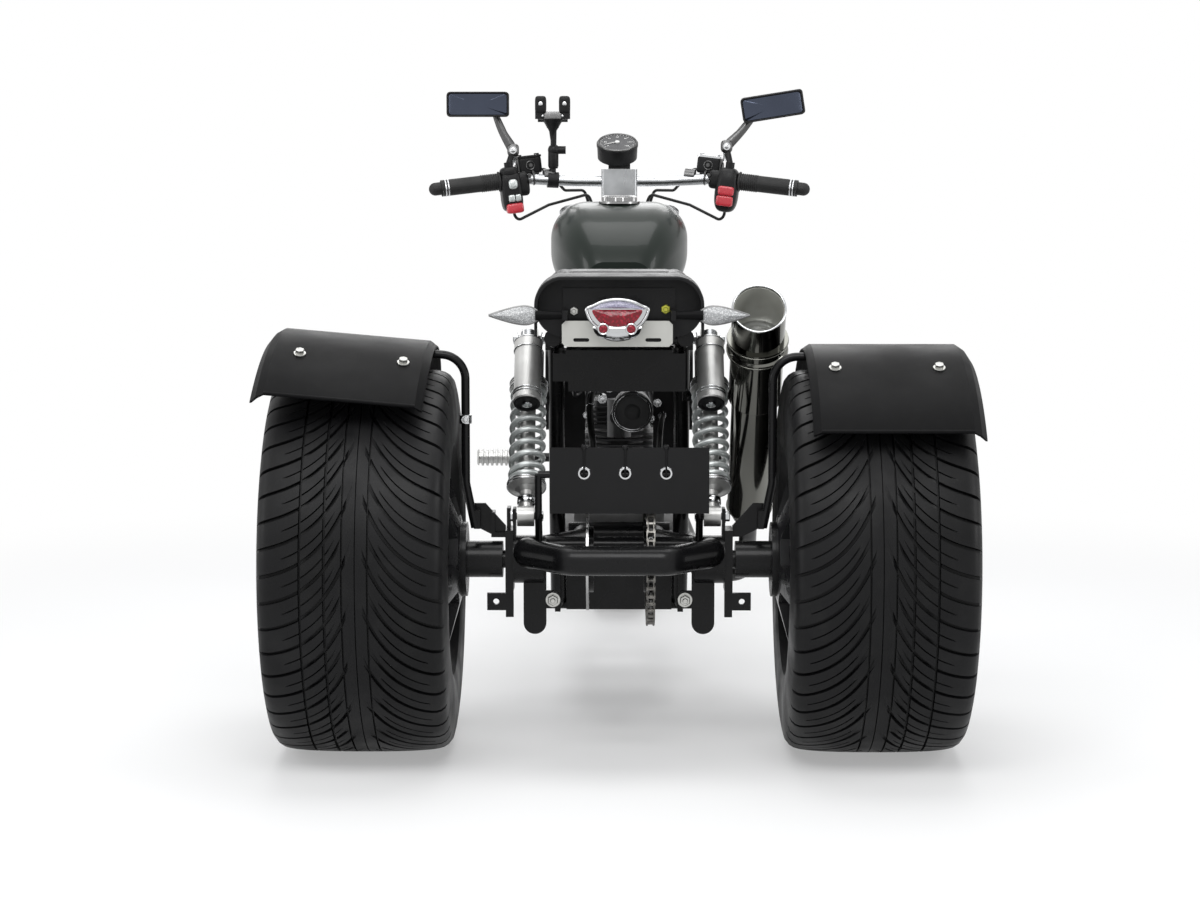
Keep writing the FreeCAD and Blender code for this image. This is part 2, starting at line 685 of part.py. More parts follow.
CASE_LOW = low_z + rail_r
CASE_TOP = CASE_LOW + 168
CRANK_Z = CASE_LOW + 84
DRIVE_Y = ENGINE_Y + 116
DRIVE_Z = size("pivot_height") - 4
case_parts = [box((-84, ENGINE_Y - 90, CASE_LOW + 10), (84, ENGINE_Y + 66, CASE_TOP)),
              box((-38, ENGINE_Y + 60, CASE_LOW + 20), (70, ENGINE_Y + 154, CASE_TOP - 20)),
              rod(70, (84, ENGINE_Y - 14, CRANK_Z), (112, ENGINE_Y - 14, CRANK_Z)),
              rod(46, (112, ENGINE_Y - 14, CRANK_Z), (118, ENGINE_Y - 14, CRANK_Z)),
              rod(74, (-84, ENGINE_Y - 6, CRANK_Z), (-116, ENGINE_Y - 6, CRANK_Z)),
              rod(30, (-116, ENGINE_Y - 6, CRANK_Z), (-121, ENGINE_Y - 6, CRANK_Z)),
              rod(9, (-62, DRIVE_Y, DRIVE_Z), (-38, DRIVE_Y, DRIVE_Z))]
case_parts += [box((-104, y, CASE_LOW), (104, y + 30, CASE_LOW + 20)) for y in (ENGINE_Y - 84,
                                                                                ENGINE_Y + 30)]
drive_r = size("drive_radius") - size("chain_tall") / 2 - 2 * play
half_gear = size("sprocket_deep") / 2
case_parts += [rod(drive_r, (size("sprocket_x") - half_gear, DRIVE_Y, DRIVE_Z),
                   (size("sprocket_x") + half_gear, DRIVE_Y, DRIVE_Z))]
case_shape = joined(case_parts)
case_shape = case_shape.cut(rod(22, (-200, ENGINE_Y + 66 + 40, CASE_TOP - 4),
                                (200, ENGINE_Y + 66 + 40, CASE_TOP - 4)))
shaped("engine_case", case_shape)

FINS = 10
FIN_GAP = 11
FIN_THICK = 3.5
HEAD_Z0 = CASE_TOP + 14 + FINS * FIN_GAP
CYLINDER_Y = ENGINE_Y - 14


def slab(half_x, half_y, low_end, high_end, corner):
    """A plate about the cylinder's axis with round corners."""
    plate = box((-half_x, CYLINDER_Y - half_y, low_end), (half_x, CYLINDER_Y + half_y, high_end))
    upright_edges = [edge for edge in plate.Edges if abs(edge.tangentAt(0).z) > 0.9]
    return plate.makeFillet(corner, upright_edges)


cylinder_parts = [rod(46, (0, CYLINDER_Y, CASE_TOP), (0, CYLINDER_Y, HEAD_Z0 + 20))]
cylinder_parts += [slab(66, 60, z, z + FIN_THICK, 18) for z in
                   [CASE_TOP + 14 + number * FIN_GAP for number in range(FINS)]]
cylinder_parts += [slab(56, 50, HEAD_Z0, HEAD_Z0 + 8, 12)]
cylinder_parts += [slab(60, 54, HEAD_Z0 + 12 + 9 * number, HEAD_Z0 + 15 + 9 * number,
                        14) for number in range(4)]
cylinder_parts += [slab(48, 42, HEAD_Z0 + 8, HEAD_Z0 + 52, 10),
                   slab(38, 34, HEAD_Z0 + 52, HEAD_Z0 + 70, 10)]
shaped("engine_cylinder", joined(cylinder_parts))

PORT_Z = HEAD_Z0 + 30
CLEANER = (-24, 528)
cleaner_front = ENGINE_Y + 116
carburettor = [rod(17, (0, CYLINDER_Y + 54 + play, PORT_Z), (0, cleaner_front, PORT_Z)),
               rod(22, (0, CYLINDER_Y + 92, PORT_Z - 40), (0, CYLINDER_Y + 92, PORT_Z + 30)),
               rod(35, (CLEANER[0], cleaner_front, CLEANER[1]),
                   (CLEANER[0], cleaner_front + 92, CLEANER[1])),
               rod(31, (CLEANER[0], cleaner_front + 92, CLEANER[1]),
                   (CLEANER[0], cleaner_front + 97, CLEANER[1]))]
shaped("carburettor", joined(carburettor))

# chain: one loop round both sprockets
pull = (DRIVE_Y, DRIVE_Z)
gap = math.hypot(rear_y - pull[0], rear_z - pull[1])
slope = math.atan2(rear_z - pull[1], rear_y - pull[0])
tilt = math.asin((size("sprocket_radius") - size("drive_radius")) / gap)


def chain_loop(offset):
    """The loop at one height off the pitch line, in the plane of the sprockets."""
    x = size("sprocket_x")

    def spot(centre, radius, angle):
        return at(x, centre[0] + radius * math.cos(angle), centre[1] + radius * math.sin(angle))

    big = size("sprocket_radius") + offset
    small = size("drive_radius") + offset
    rear = (rear_y, rear_z)
    top = slope + math.pi / 2 + tilt
    low = slope - math.pi / 2 - tilt
    return Part.Wire([Part.Arc(spot(rear, big, low), spot(rear, big, slope),
                               spot(rear, big, top)).toShape(),
                      Part.makeLine(spot(rear, big, top), spot(pull, small, top)),
                      Part.Arc(spot(pull, small, top), spot(pull, small, slope + math.pi),
                               spot(pull, small, low)).toShape(),
                      Part.makeLine(spot(pull, small, low), spot(rear, big, low))])


half_tall = size("chain_tall") / 2
band = Part.Face(chain_loop(half_tall)).cut(Part.Face(chain_loop(-half_tall)))
band = band.extrude(at(size("chain_wide"), 0, 0))
band.translate(at(-size("chain_wide") / 2, 0, 0))
shaped("chain", band)

# exhaust
muffler_x = size("muffler_x")
muffler_r = size("muffler_radius")
muffler_lean = math.radians(size("muffler_lean"))
MUFFLER_FOOT = (rear_y - 410, 338)
COLLAR_LOW = 404
muffler_up = at(0, math.sin(muffler_lean), math.cos(muffler_lean))
collar_r = muffler_r + 6
TIP_HIGH = size("muffler_length")
TIP_SLANT = 26
can = turned_rod([
    # height, radius
    (0, 30), (24, 40), (296, 40), (296, muffler_r), (COLLAR_LOW, muffler_r), (COLLAR_LOW, collar_r),
    (COLLAR_LOW + 9, collar_r), (COLLAR_LOW + 12, muffler_r + 2), (COLLAR_LOW + 20, muffler_r + 2),
    (COLLAR_LOW + 23, collar_r), (COLLAR_LOW + 32, collar_r), (COLLAR_LOW + 32, muffler_r),
    (TIP_HIGH, muffler_r)])
can = can.cut(Part.makeCylinder(muffler_r - 3, size("tip_bore") + 10, at(0, 0, TIP_HIGH - size("tip_bore"))))
slant = Part.makeBox(400, 400, 200, at(-200, -200, 0))
slant.Placement = FreeCAD.Placement(
    at(0, 0, TIP_HIGH - TIP_SLANT / 2),
    FreeCAD.Rotation(at(1, 0, 0), -math.degrees(math.atan(TIP_SLANT / (2 * muffler_r)))))
can = can.cut(slant).removeSplitter()
shaped("muffler", can, FreeCAD.Placement(at(-muffler_x, *MUFFLER_FOOT),
                                         FreeCAD.Rotation(at(1, 0, 0), -size("muffler_lean"))))
muffler_foot = at(-muffler_x, *MUFFLER_FOOT)
pipe = tube([(-26, CYLINDER_Y - 54 - play, PORT_Z), (-26, CYLINDER_Y - 104, PORT_Z),
             (-132, ENGINE_Y - 140, CRANK_Z - 16),
             (-154, ENGINE_Y + 60, 206), tuple(muffler_foot - muffler_up * 150),
             tuple(muffler_foot - muffler_up * play)], 16, 40)
shaped("exhaust_pipe", pipe)

# tank, seat and tail
TANK_START = head_y + 113
TANK_LONG = ENGINE_Y - TANK_START
TANK = (
    # share of the way from the steering head to the engine, half width, low, high, corner
    (0, 60, 800, 860, 30),
    (0.18, 112, 768, 892, 60),
    (0.5, 132, 732, 897, 70),
    (0.8, 108, 706, 866, 60),
    (1, 62, 692, 790, 34),
)
spine_room = tube([head_spot(0, 12, 20), (0, spine_foot[1] + 60, high_z - 16)], 22 + play)
tank = lofted([(TANK_START + TANK_LONG * share, *ring) for share, *ring in TANK]).cut(spine_room)
shaped("fuel_tank", tank.cut(rod(rail_r + play, (-200, *spine_foot[1:]), (200, *spine_foot[1:]))))
SEAT = (
    # distance ahead of the rear axle, half width, low, high, corner
    (-592, 58, 690, 768, 28),
    (-520, 104, 688, 744, 24),
    (-340, 134, 688, 740, 24),
    (-262, 134, 688, 776, 34),
    (-130, 136, 690, 788, 40),
    (-40, 130, 712, 784, 34),
)
rail_room = twin_tubes(seat_rail, rail_r + play, 60)
seat = lofted([(rear_y + back, *ring) for back, *ring in SEAT])
for room in rail_room:
    seat = seat.cut(room)
shaped("seat", seat)
BOX_HALF = 112
BOX_STEP = 86
BOX_LOW = (592, 609, high_z - 16)
box_front = PIVOT[0] + 190
box_back = PIVOT[0] + 330
battery_box = [box((-BOX_HALF, box_front, BOX_LOW[0]), (BOX_STEP, box_back, BOX_LOW[1])),
               box((-BOX_HALF, box_front, BOX_LOW[1]), (BOX_HALF, box_back, BOX_LOW[2])),
               box((-90, box_front, BOX_LOW[2]), (90, box_back, high_z - 10 - play))]
shaped("battery_box", joined(battery_box))

PANEL = (
    # distance ahead of the rear axle, height
    (-452, 640), (-300, 650), (-282, 560), (-330, 500), (-440, 520),
)
panel = Part.Face(Part.makePolygon([at(rail_x + rail_r + play, rear_y + back, z) for back,
                                    z in PANEL + PANEL[:1]]))
panel = panel.extrude(at(6, 0, 0))
panel = panel.makeFillet(18, [edge for edge in panel.Edges if abs(edge.tangentAt(0).x) > 0.9])
shaped("side_covers", Part.makeCompound(both(panel)))

# tail: an arched cowl with an open back, and what stands in it
half_tail = size("tail_half")
tail_top = size("tail_top")
COWL_LOW = high_z + 20
COWL_WALL = 5
RECESS = 34
cowl = lofted([(rear_y - 40 + play, half_tail - 5, COWL_LOW, tail_top - 4, 44),
               (TAIL_Y - RECESS, half_tail - 1,
               COWL_LOW, tail_top, 46), (TAIL_Y, half_tail, COWL_LOW, tail_top - 4, 46)])
hollow = lofted([(TAIL_Y - RECESS, half_tail - 1 - COWL_WALL, COWL_LOW - 20, tail_top - COWL_WALL, 42),
                 (TAIL_Y + 1, half_tail - COWL_WALL, COWL_LOW - 20, tail_top - 4 - COWL_WALL, 42)])
cowl = cowl.cut(hollow)
for room in rail_room:
    cowl = cowl.cut(room)
shaped("tail_cover", cowl)

LAMP_X = 3
LAMP_Z = 733
PLATE_Y = TAIL_Y + 8
PLATE_Z = 700
SLOT_HALF = 58.5
SLOT_R = 3
SLOT_RUN = 20
panel_y = TAIL_Y - RECESS + play
bracket = [box((-92, panel_y, 690), (92, panel_y + 4, 772)),
           box((-34, panel_y, 704), (34, PLATE_Y - play, 716)),
           *both(box((84, panel_y, 722), (92, TAIL_Y + 19, 738)))]
bracket_shape = joined(bracket)
for room in rail_room:
    bracket_shape = bracket_shape.cut(room)
shaped("light_bracket", bracket_shape)

plate = start("plate_bracket", x=LAMP_X, y=PLATE_Y + 1.5, z=PLATE_Z)
padded(plate, "XZ_Plane", "3",
       [("-plate_wide / 2 + 6", "-plate_tall / 2"), ("plate_wide / 2 - 6", "-plate_tall / 2"),
        ("plate_wide / 2", "-plate_tall / 2 + 6"), ("plate_wide / 2", "plate_tall / 2 - 6"),
        ("plate_wide / 2 - 6", "plate_tall / 2"), ("-plate_wide / 2 + 6", "plate_tall / 2"),
        ("-plate_wide / 2", "plate_tall / 2 - 6"), ("-plate_wide / 2", "-plate_tall / 2 + 6")])
for middle in (-SLOT_HALF, SLOT_HALF):
    left, right = middle - SLOT_RUN / 2, middle + SLOT_RUN / 2
    pierced(plate, "XZ_Plane", [(left, -10 - SLOT_R), (right, -10 - SLOT_R), (right, -10 + SLOT_R),
                                (left, -10 + SLOT_R)])
    pierced(plate, "XZ_Plane", circles=[(left, -10, SLOT_R), (right, -10, SLOT_R)])

LAMP = ((-51, 0), (-27, -44), (27, -44), (51, 0), (38, 14), (18, 23), (0, 25), (-18, 23), (-38, 14))
lamp_deep = 38
tail_light = start("tail_light", x=LAMP_X, y=PLATE_Y + 3 + play + lamp_deep / 2, z=LAMP_Z)
padded(tail_light, "XZ_Plane", lamp_deep, LAMP)

SIGNAL_Y = TAIL_Y + 11
SIGNAL_Z = 730
SIGNAL_DEEP = 20
LEAF = ((131, -4), (142, -12), (162, -15), (186, -9), (210, 0), (186, 9), (162, 15), (142, 12), (131, 4))
leaf = Part.Face(Part.makePolygon([at(x, SIGNAL_Y - SIGNAL_DEEP / 2, SIGNAL_Z + z) for x,
                                   z in LEAF + LEAF[:1]]))
leaf = leaf.extrude(at(0, SIGNAL_DEEP, 0)).fuse(rod(6, (92 + play, SIGNAL_Y, SIGNAL_Z),
                                                    (140, SIGNAL_Y, SIGNAL_Z)))
shaped("rear_signals", Part.makeCompound(both(leaf)))

flap = start("splash_flap", x="-17", y=f"{REAR_Y} + 76 + 1.5 + play", z="461")
padded(flap, "XZ_Plane", "3", [("-flap_wide / 2", "-flap_tall / 2"), ("flap_wide / 2", "-flap_tall / 2"),
                               ("flap_wide / 2", "flap_tall / 2"), ("-flap_wide / 2", "flap_tall / 2")],
       [("-60", "12", "10"), ("7", "12", "10"), ("74", "12", "10")])

peg = rod(17, (PEG_START, *PEG), (PEG_START + 80, *PEG))
shaped("foot_pegs", Part.makeCompound(both(peg)))


# ---- steering ------------------------------------------------------------------------------

yoke = size("yoke_deep")
fork_half = size("fork_half")
fork_offset = size("fork_offset")
fork_long = size("fork_length")
stanchion = size("stanchion_radius")
slider_r = size("slider_radius")
steer = FreeCAD.Placement(head, FreeCAD.Rotation(at(1, 0, 0), -size("rake")))
low_yoke = -half_head - 1 - yoke
high_yoke = half_head + 1
SLIDER_TOP = -fork_long + 320
YOKE_BOSS = 30
YOKE_BACK = 24
yokes = []
for z in (low_yoke, high_yoke):
    front = -fork_offset - 24
    rim = ((-fork_half, front), (fork_half, front), (fork_half, 8 - fork_offset), (34, YOKE_BACK),
           (-34, YOKE_BACK), (-fork_half, 8 - fork_offset))
    outline = Part.makePolygon([at(x, y, z) for x, y in rim + rim[:1]])
    yokes.append(Part.Face(outline).extrude(at(0, 0, yoke)))
    yokes += both(rod(YOKE_BOSS, (fork_half, -fork_offset, z), (fork_half, -fork_offset, z + yoke)))
legs = both(rod(stanchion, (fork_half, -fork_offset, SLIDER_TOP - 120),
                (fork_half, -fork_offset, high_yoke + yoke + 6)))
lamp_r = size("lamp_radius")
ears = both(box((lamp_r + play, -168, low_yoke + 5), (lamp_r + 5, -fork_offset, low_yoke + 37)))
stem = rod(size("stem_radius"), (0, 0, low_yoke + 1), (0, 0, high_yoke + yoke - 1))
shaped("fork", joined(yokes + legs + ears + [stem]), steer)

slider = rod(slider_r, (fork_half, -fork_offset, -fork_long - 18),
             (fork_half, -fork_offset, SLIDER_TOP - 20))
slider = slider.fuse(rod(slider_r + 3, (fork_half, -fork_offset, SLIDER_TOP - 20),
                         (fork_half, -fork_offset, SLIDER_TOP)))
slider = slider.fuse(box((fork_half - 12, -fork_offset, -fork_long - 18),
                         (fork_half + 12, 32 - fork_offset, -fork_long + 60)))
slider = slider.cut(rod(stanchion + play, (fork_half, -fork_offset, SLIDER_TOP - 121),
                        (fork_half, -fork_offset, SLIDER_TOP + 1)))
slider = slider.cut(rod(size("front_spindle_radius") + play, (0, -fork_offset, -fork_long),
                        (200, -fork_offset, -fork_long)))
shaped("fork_sliders", Part.makeCompound(both(slider)), steer)
spindle_r = size("front_spindle_radius")
spindle = rod(spindle_r, (-120, front_y, front_z), (120, front_y, front_z))
nuts = both(rod(14, (fork_half + slider_r + play, front_y, front_z),
                (fork_half + slider_r + 10, front_y, front_z)))
shaped("front_spindle", joined([spindle] + nuts))

fender = start("front_fender", x="0", y=FRONT_Y, z="front_tyre_radius", axis=(1, 0, 0), angle="-65")
turned(fender, [("-69", "front_tyre_radius - 10"), ("-69", "front_tyre_radius + 4"),
                ("-54", "front_tyre_radius + 18"),
                ("54", "front_tyre_radius + 18"), ("69", "front_tyre_radius + 4"),
                ("69", "front_tyre_radius - 10"),
                ("66", "front_tyre_radius - 10"), ("66", "front_tyre_radius + 3"),
                ("53", "front_tyre_radius + 15"),
                ("-53", "front_tyre_radius + 15"), ("-66", "front_tyre_radius + 3"),
                ("-66", "front_tyre_radius - 10")], "120")
for lift in ("fork_half - slider_radius - play - 2.5", "-(fork_half - slider_radius - play - 2.5)"):
    padded(fender, "YZ_Plane", "5", lift=lift,
           circles=[("(front_tyre_radius - 6) * cos(125)", "(front_tyre_radius - 6) * sin(125)", "9")])

light = start("headlight", x="0", y=f"{HEAD_Y} - 140", z=f"{HEAD_Z} + 16")
light.setExpression("Placement.Rotation.Angle", "-90")
turned(light, [("-48", "0"), ("-48", "40"), ("-30", "lamp_radius - 10"), ("20", "lamp_radius"),
               ("44", "lamp_radius"),
               ("54", "40"), ("58", "0")])

bar_r = size("bar_radius")
bar_half = size("bar_half")
bar_z = head_z + size("bar_rise")
BAR_Y = head_y + 68
GRIP_Y = BAR_Y + 42
BEND_X = 191
grip_long = size("grip_length")
bar_route = [(-bar_half, GRIP_Y, bar_z - 14), (-BEND_X, BAR_Y + 10, bar_z + 5), (-90, BAR_Y, bar_z),
             (90, BAR_Y, bar_z), (BEND_X, BAR_Y + 10, bar_z + 5), (bar_half, GRIP_Y, bar_z - 14)]
shaped("handlebar", tube(bar_route, bar_r, 50))
top = head_spot(0, 0, high_yoke + yoke)
riser = box((-36, top[1] - 20, top[2] + 20), (36, BAR_Y + 20, bar_z + 24))
riser = riser.makeFillet(6, [edge for edge in riser.Edges if abs(edge.tangentAt(0).z) > 0.9])
riser = riser.fuse(box((-18, top[1] - 16, top[2] - 6), (18, BAR_Y + 12, top[2] + 24)))
riser = riser.cut(rod(bar_r + play, (-60, BAR_Y, bar_z), (60, BAR_Y, bar_z)))
yoke_room = Part.makeBox(200, 200, 60, at(-100, -100, high_yoke + yoke - 60))
yoke_room.Placement = steer
shaped("riser_clamp", riser.cut(yoke_room))

grip_way = (at(*bar_route[0]) - at(*bar_route[1])).normalize()
grip_end = at(*bar_route[0]) + grip_way * 4
grip = Part.makeCylinder(size("grip_radius"), grip_long, grip_end, grip_way * -1)
ball = Part.makeSphere(13, grip_end + grip_way * 12)
grip = grip.fuse(Part.makeCylinder(13, 14, grip_end + grip_way * 12, grip_way * -1)).fuse(ball)
grip = grip.cut(Part.makeCylinder(bar_r + play, grip_long, grip_end - grip_way * 4, grip_way * -1))
shaped("grips", Part.makeCompound(both(grip)))

pod_end = grip_end - grip_way * (grip_long + 4)
across_bar = FreeCAD.Rotation(at(1, 0, 0), at(-grip_way.x, -grip_way.y, -grip_way.z))


def along_grip(shape):
    """Turn a piece made along +X at the origin to lie along the right grip, its start at the grip's end."""
    shape.Placement = FreeCAD.Placement(pod_end, across_bar)
    return shape


pod = Part.makeBox(38, 46, 88, at(0, -23, -64))
pod = pod.makeFillet(12, [edge for edge in pod.Edges if abs(edge.tangentAt(0).x) > 0.9])
pod = along_grip(pod).cut(Part.makeCylinder(bar_r + play, 80, pod_end + grip_way * 10, grip_way * -1))
shaped("switch_pods", Part.makeCompound(both(pod)))

perch = Part.makeBox(26, 60, 24, at(42, -58, -10))
perch = perch.fuse(Part.makeCylinder(14, 44, at(40, -46, 20), at(1, 0, 0)))
perch = perch.fuse(Part.makeBox(44, 30, 20, at(40, -61, 4)))
perch = along_grip(perch).cut(Part.makeCylinder(bar_r + play, 160, pod_end + grip_way * 40,
                                                grip_way * -1))
lever_root = pod_end - grip_way * 55 + at(0, -54, 0)
lever_way = (grip_way + at(0, 0.10, 0)).normalize()
lever = rod(6, tuple(lever_root), tuple(lever_root + lever_way * 168)).fuse(
    Part.makeSphere(8, lever_root + lever_way * 168))
levers = perch.fuse(lever).removeSplitter().cut(tube(bar_route, bar_r + play, 50))
shaped("levers", Part.makeCompound(both(levers)))

# side, word, glass middle across and up, roll, knuckle across and up
MIRRORS = (
    (1, "left", 284, 1091, 0, 214, 1000),
    (-1, "right", 308, 1088, 9, 216, 1008),
)
mirror_y = BAR_Y + 14
for side, word, middle, rise, roll, knee, knee_z in MIRRORS:
    glass = Part.makeBox(size("mirror_wide"), 16, size("mirror_tall"),
                         at(-size("mirror_wide") / 2, -8, -size("mirror_tall") / 2))
    glass = glass.makeFillet(7, [edge for edge in glass.Edges if abs(edge.tangentAt(0).y) > 0.9])
    glass.Placement = FreeCAD.Placement(at(-middle, mirror_y, rise), FreeCAD.Rotation(at(0, 1, 0), roll))
    knuckle = at(-knee, mirror_y - 13, knee_z)
    pin = at(30 - middle, mirror_y - 15, rise - 8)
    base = along_grip(Part.makeCylinder(9, 12, at(19, 0, 24 + play)))
    foot = across_bar.multVec(at(19, 0, 32)) + pod_end
    mirror = joined([glass, rod(5, tuple(knuckle), tuple(pin)),
                     rod(9, tuple(pin), tuple(pin + at(0, 8, 0))),
                     Part.makeSphere(11, knuckle), rod(6, tuple(foot), tuple(knuckle)), base])
    shaped(f"mirror_{word}", mirrored(mirror) if side > 0 else mirror)

# gauge: a straight cup on a short foot, its dial nearly level and tipped back to the rider
gauge_r = size("gauge_radius")
GAUGE_SPOT = (4, head_y + 40, bar_z + 66)
GAUGE_TIP = 26
cup = turned_rod([
    # height, radius
    (-24, gauge_r - 8), (-20, gauge_r - 2), (6, gauge_r - 1), (6, gauge_r), (11, gauge_r),
    (12, gauge_r - 3)])
cup.Placement = FreeCAD.Placement(at(*GAUGE_SPOT), FreeCAD.Rotation(at(1, 0, 0), -GAUGE_TIP))
gauge_foot = box((-22, GAUGE_SPOT[1] - 22, bar_z + 24 + play), (22, GAUGE_SPOT[1] + 14, bar_z + 52))
shaped("gauge", joined([cup, gauge_foot]))

# phone holder: a collar on the bar, a post with a ball joint and a cradle with two side arms
HOLDER_X = 134
holder_y = BAR_Y + 6
post = rod(6, (HOLDER_X, holder_y, bar_z + 2), (HOLDER_X - 2, holder_y, 1050))
collar = rod(16, (HOLDER_X - 11, BAR_Y + 2, bar_z + 2), (HOLDER_X + 11, BAR_Y + 5, bar_z + 3))
knob = rod(8, (HOLDER_X - 26, holder_y, 1000), (HOLDER_X + 4, holder_y, 1000))
ball = Part.makeSphere(12, at(HOLDER_X - 2, holder_y, 1000))
cradle = box((HOLDER_X - 30, holder_y - 9, 1056), (HOLDER_X + 30, holder_y + 3, 1076))
neck = box((HOLDER_X - 12, holder_y - 9, 1044), (HOLDER_X + 12, holder_y + 5, 1060))
arms = [box((HOLDER_X + 26 * way - 9, holder_y - 9, 1062),
            (HOLDER_X + 26 * way + 9, holder_y + 14, 1080)) for way in (-1, 1)]
arms += [box((HOLDER_X + 30 * way - 5, holder_y + 2, 1070),
             (HOLDER_X + 30 * way + 5, holder_y + 14, 1102)) for way in (-1, 1)]
holder = joined([post, collar, knob, ball, cradle, neck] + arms)
shaped("phone_holder", holder.cut(tube(bar_route, bar_r + play, 50)))

# cables: from both pods in front of the tank to the gap between the yokes
CABLES = (
    # on the right grip's own line: start, then a short way out; then stops across, from the bar and up
    ((19, 0, -64 - play), (19, 0, -84), (-144, -50, 889), (-64, -124, 910), (-22, -156.7, 800)),
    ((84 + play, -46, 14), (100, -46, 14), (-112, -88, 918), (-72, -132, 918), (-36, -156.7, 800)),
)
cables = []
for out, along, *stops in CABLES:
    ends = [tuple(across_bar.multVec(at(*spot)) + pod_end) for spot in (out, along)]
    cables += twin_tubes(ends + [(x, BAR_Y + y, z) for x, y, z in stops], 3, 14)
shaped("cables", Part.makeCompound(cables))

# front caliper: straddles the disc behind the left slider
caliper = box((50, 44 - fork_offset, 20 - fork_long),
              (fork_half - 14, 117 - fork_offset, 70 - fork_long))
caliper = caliper.cut(box((53.5, 30 - fork_offset, -fork_long),
                          (62.5, 111 - fork_offset, 100 - fork_long)))
caliper = caliper.fuse(box((66, 32 - fork_offset + play, 30 - fork_long),
                           (fork_half - 4, 60 - fork_offset, 56 - fork_long)))
shaped("front_caliper", caliper, steer)
document.recompute()
faults = [piece.Label for piece in document.Objects if set(piece.State) & {"Invalid", "Error"}]
faults += [piece.Label for piece in nodes if piece.Shape.isNull() or not piece.Shape.isValid()]
if faults:
    raise RuntimeError(f"pieces that did not build: {faults}")
os.makedirs("parts", exist_ok=True)
for piece in nodes:
    piece.Shape.exportStep(f"parts/{piece.Label}.step")
low = [min(getattr(piece.Shape.BoundBox, f"{way}Min") for piece in nodes) for way in "XYZ"]
high = [max(getattr(piece.Shape.BoundBox, f"{way}Max") for piece in nodes) for way in "XYZ"]
print(f"{len(nodes)} pieces, from {[round(v, 1) for v in low]} to {[round(v, 1) for v in high]} mm")
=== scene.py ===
# %% [markdown]
# A motorized trike, dressed piece by piece
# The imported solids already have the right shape, place and motion. This lesson gives them their
# finishes and adds what a solid model leaves plain: tread, coils, links, lenses, stitched vinyl.
# Every length is in metres; X is the vehicle's left, Y its rear and Z is up.

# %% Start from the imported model
import math

import bmesh
import bpy
import numpy as np
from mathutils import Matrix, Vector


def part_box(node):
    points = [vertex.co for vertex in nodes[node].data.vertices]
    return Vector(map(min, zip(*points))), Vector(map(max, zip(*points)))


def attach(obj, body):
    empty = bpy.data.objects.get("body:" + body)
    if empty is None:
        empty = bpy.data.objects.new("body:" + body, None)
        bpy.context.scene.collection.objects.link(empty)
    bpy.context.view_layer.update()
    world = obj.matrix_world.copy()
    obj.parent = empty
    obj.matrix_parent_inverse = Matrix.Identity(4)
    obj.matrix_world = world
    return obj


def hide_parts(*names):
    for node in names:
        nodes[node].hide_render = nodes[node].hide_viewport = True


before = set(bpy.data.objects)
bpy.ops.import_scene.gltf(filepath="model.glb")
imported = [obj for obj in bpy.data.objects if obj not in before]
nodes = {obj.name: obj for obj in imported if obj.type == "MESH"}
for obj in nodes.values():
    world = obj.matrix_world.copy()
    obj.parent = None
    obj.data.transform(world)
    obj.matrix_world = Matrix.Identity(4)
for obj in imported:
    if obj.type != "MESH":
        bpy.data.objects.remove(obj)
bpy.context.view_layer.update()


# %% [markdown]
# Where things are
# A dresser measures before cutting. The hard points of the trike are read from the solids' own
# boxes, so a change of size in the model moves every added piece with it.

# %% Hard points read from the solids
def corners(node):
    """The lowest and the highest corner of a node's box."""
    return [np.array(corner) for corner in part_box(node)]


def middle(node):
    """The centre of a node's box: the mean of its lowest and highest corners."""
    low, high = corners(node)
    return (low + high) / 2


def span(node):
    """The size of a node's box along X, Y and Z: highest corner minus lowest."""
    low, high = corners(node)
    return high - low


ACROSS, BACK, UP = np.eye(3)
SIDES = (("left", 1), ("right", -1))
REAR = middle("rear_brake_disc") * [0, 1, 1]
TYRE_R = span("rear_tyre_left")[2] / 2
print("rear axle at", REAR.round(4), "rear tyre radius", round(TYRE_R, 4))


# %% [markdown]
# Shader nodes in one line each
# A material is a small graph. Two helpers write it: one makes a node with its settings, and the
# other feeds its inputs, linking what is a socket and setting what is a number or a colour.

# %% Helpers for shader graphs
def feed(tree, node, inputs):
    """Gives a node's inputs what they are told: a socket is linked, anything else is set."""
    for name, value in inputs.items():
        if isinstance(value, bpy.types.NodeSocket):
            tree.links.new(value, node.inputs[name])
        else:
            node.inputs[name].default_value = value


def add(tree, kind, inputs=None, **settings):
    """A new node of a kind, first with its settings and then with its inputs."""
    node = tree.nodes.new("ShaderNode" + kind)
    for name, value in settings.items():
        setattr(node, name, value)
    feed(tree, node, inputs or {})
    return node


def larger(tree, one, other):
    """The larger of two values."""
    return add(tree, "Math", {0: one, 1: other}, operation="MAXIMUM").outputs[0]


def object_place(tree):
    """The place on the surface in the object's own coordinates."""
    return add(tree, "TexCoord").outputs["Object"]


def new_material(name):
    """A material with its graph and its main shader."""
    material = bpy.data.materials.new(name)
    material.use_nodes = True
    return material, material.node_tree, material.node_tree.nodes["Principled BSDF"]


print("graph helpers: feed, add, larger, object_place, new_material")


# %% [markdown]
# The studio
# Product pictures use a pale sweep and big soft lamps. A broad lamp high up on the camera's side
# models the tyres, two strips at the sides draw the long highlights along metal, one lamp overhead
# and one in front open up the tank and the fork, and a weak world fills the rest. The floor is a
# real surface near the trike, so it catches the contact shadow, and fades into plain white further
# off, as a paper sweep does.

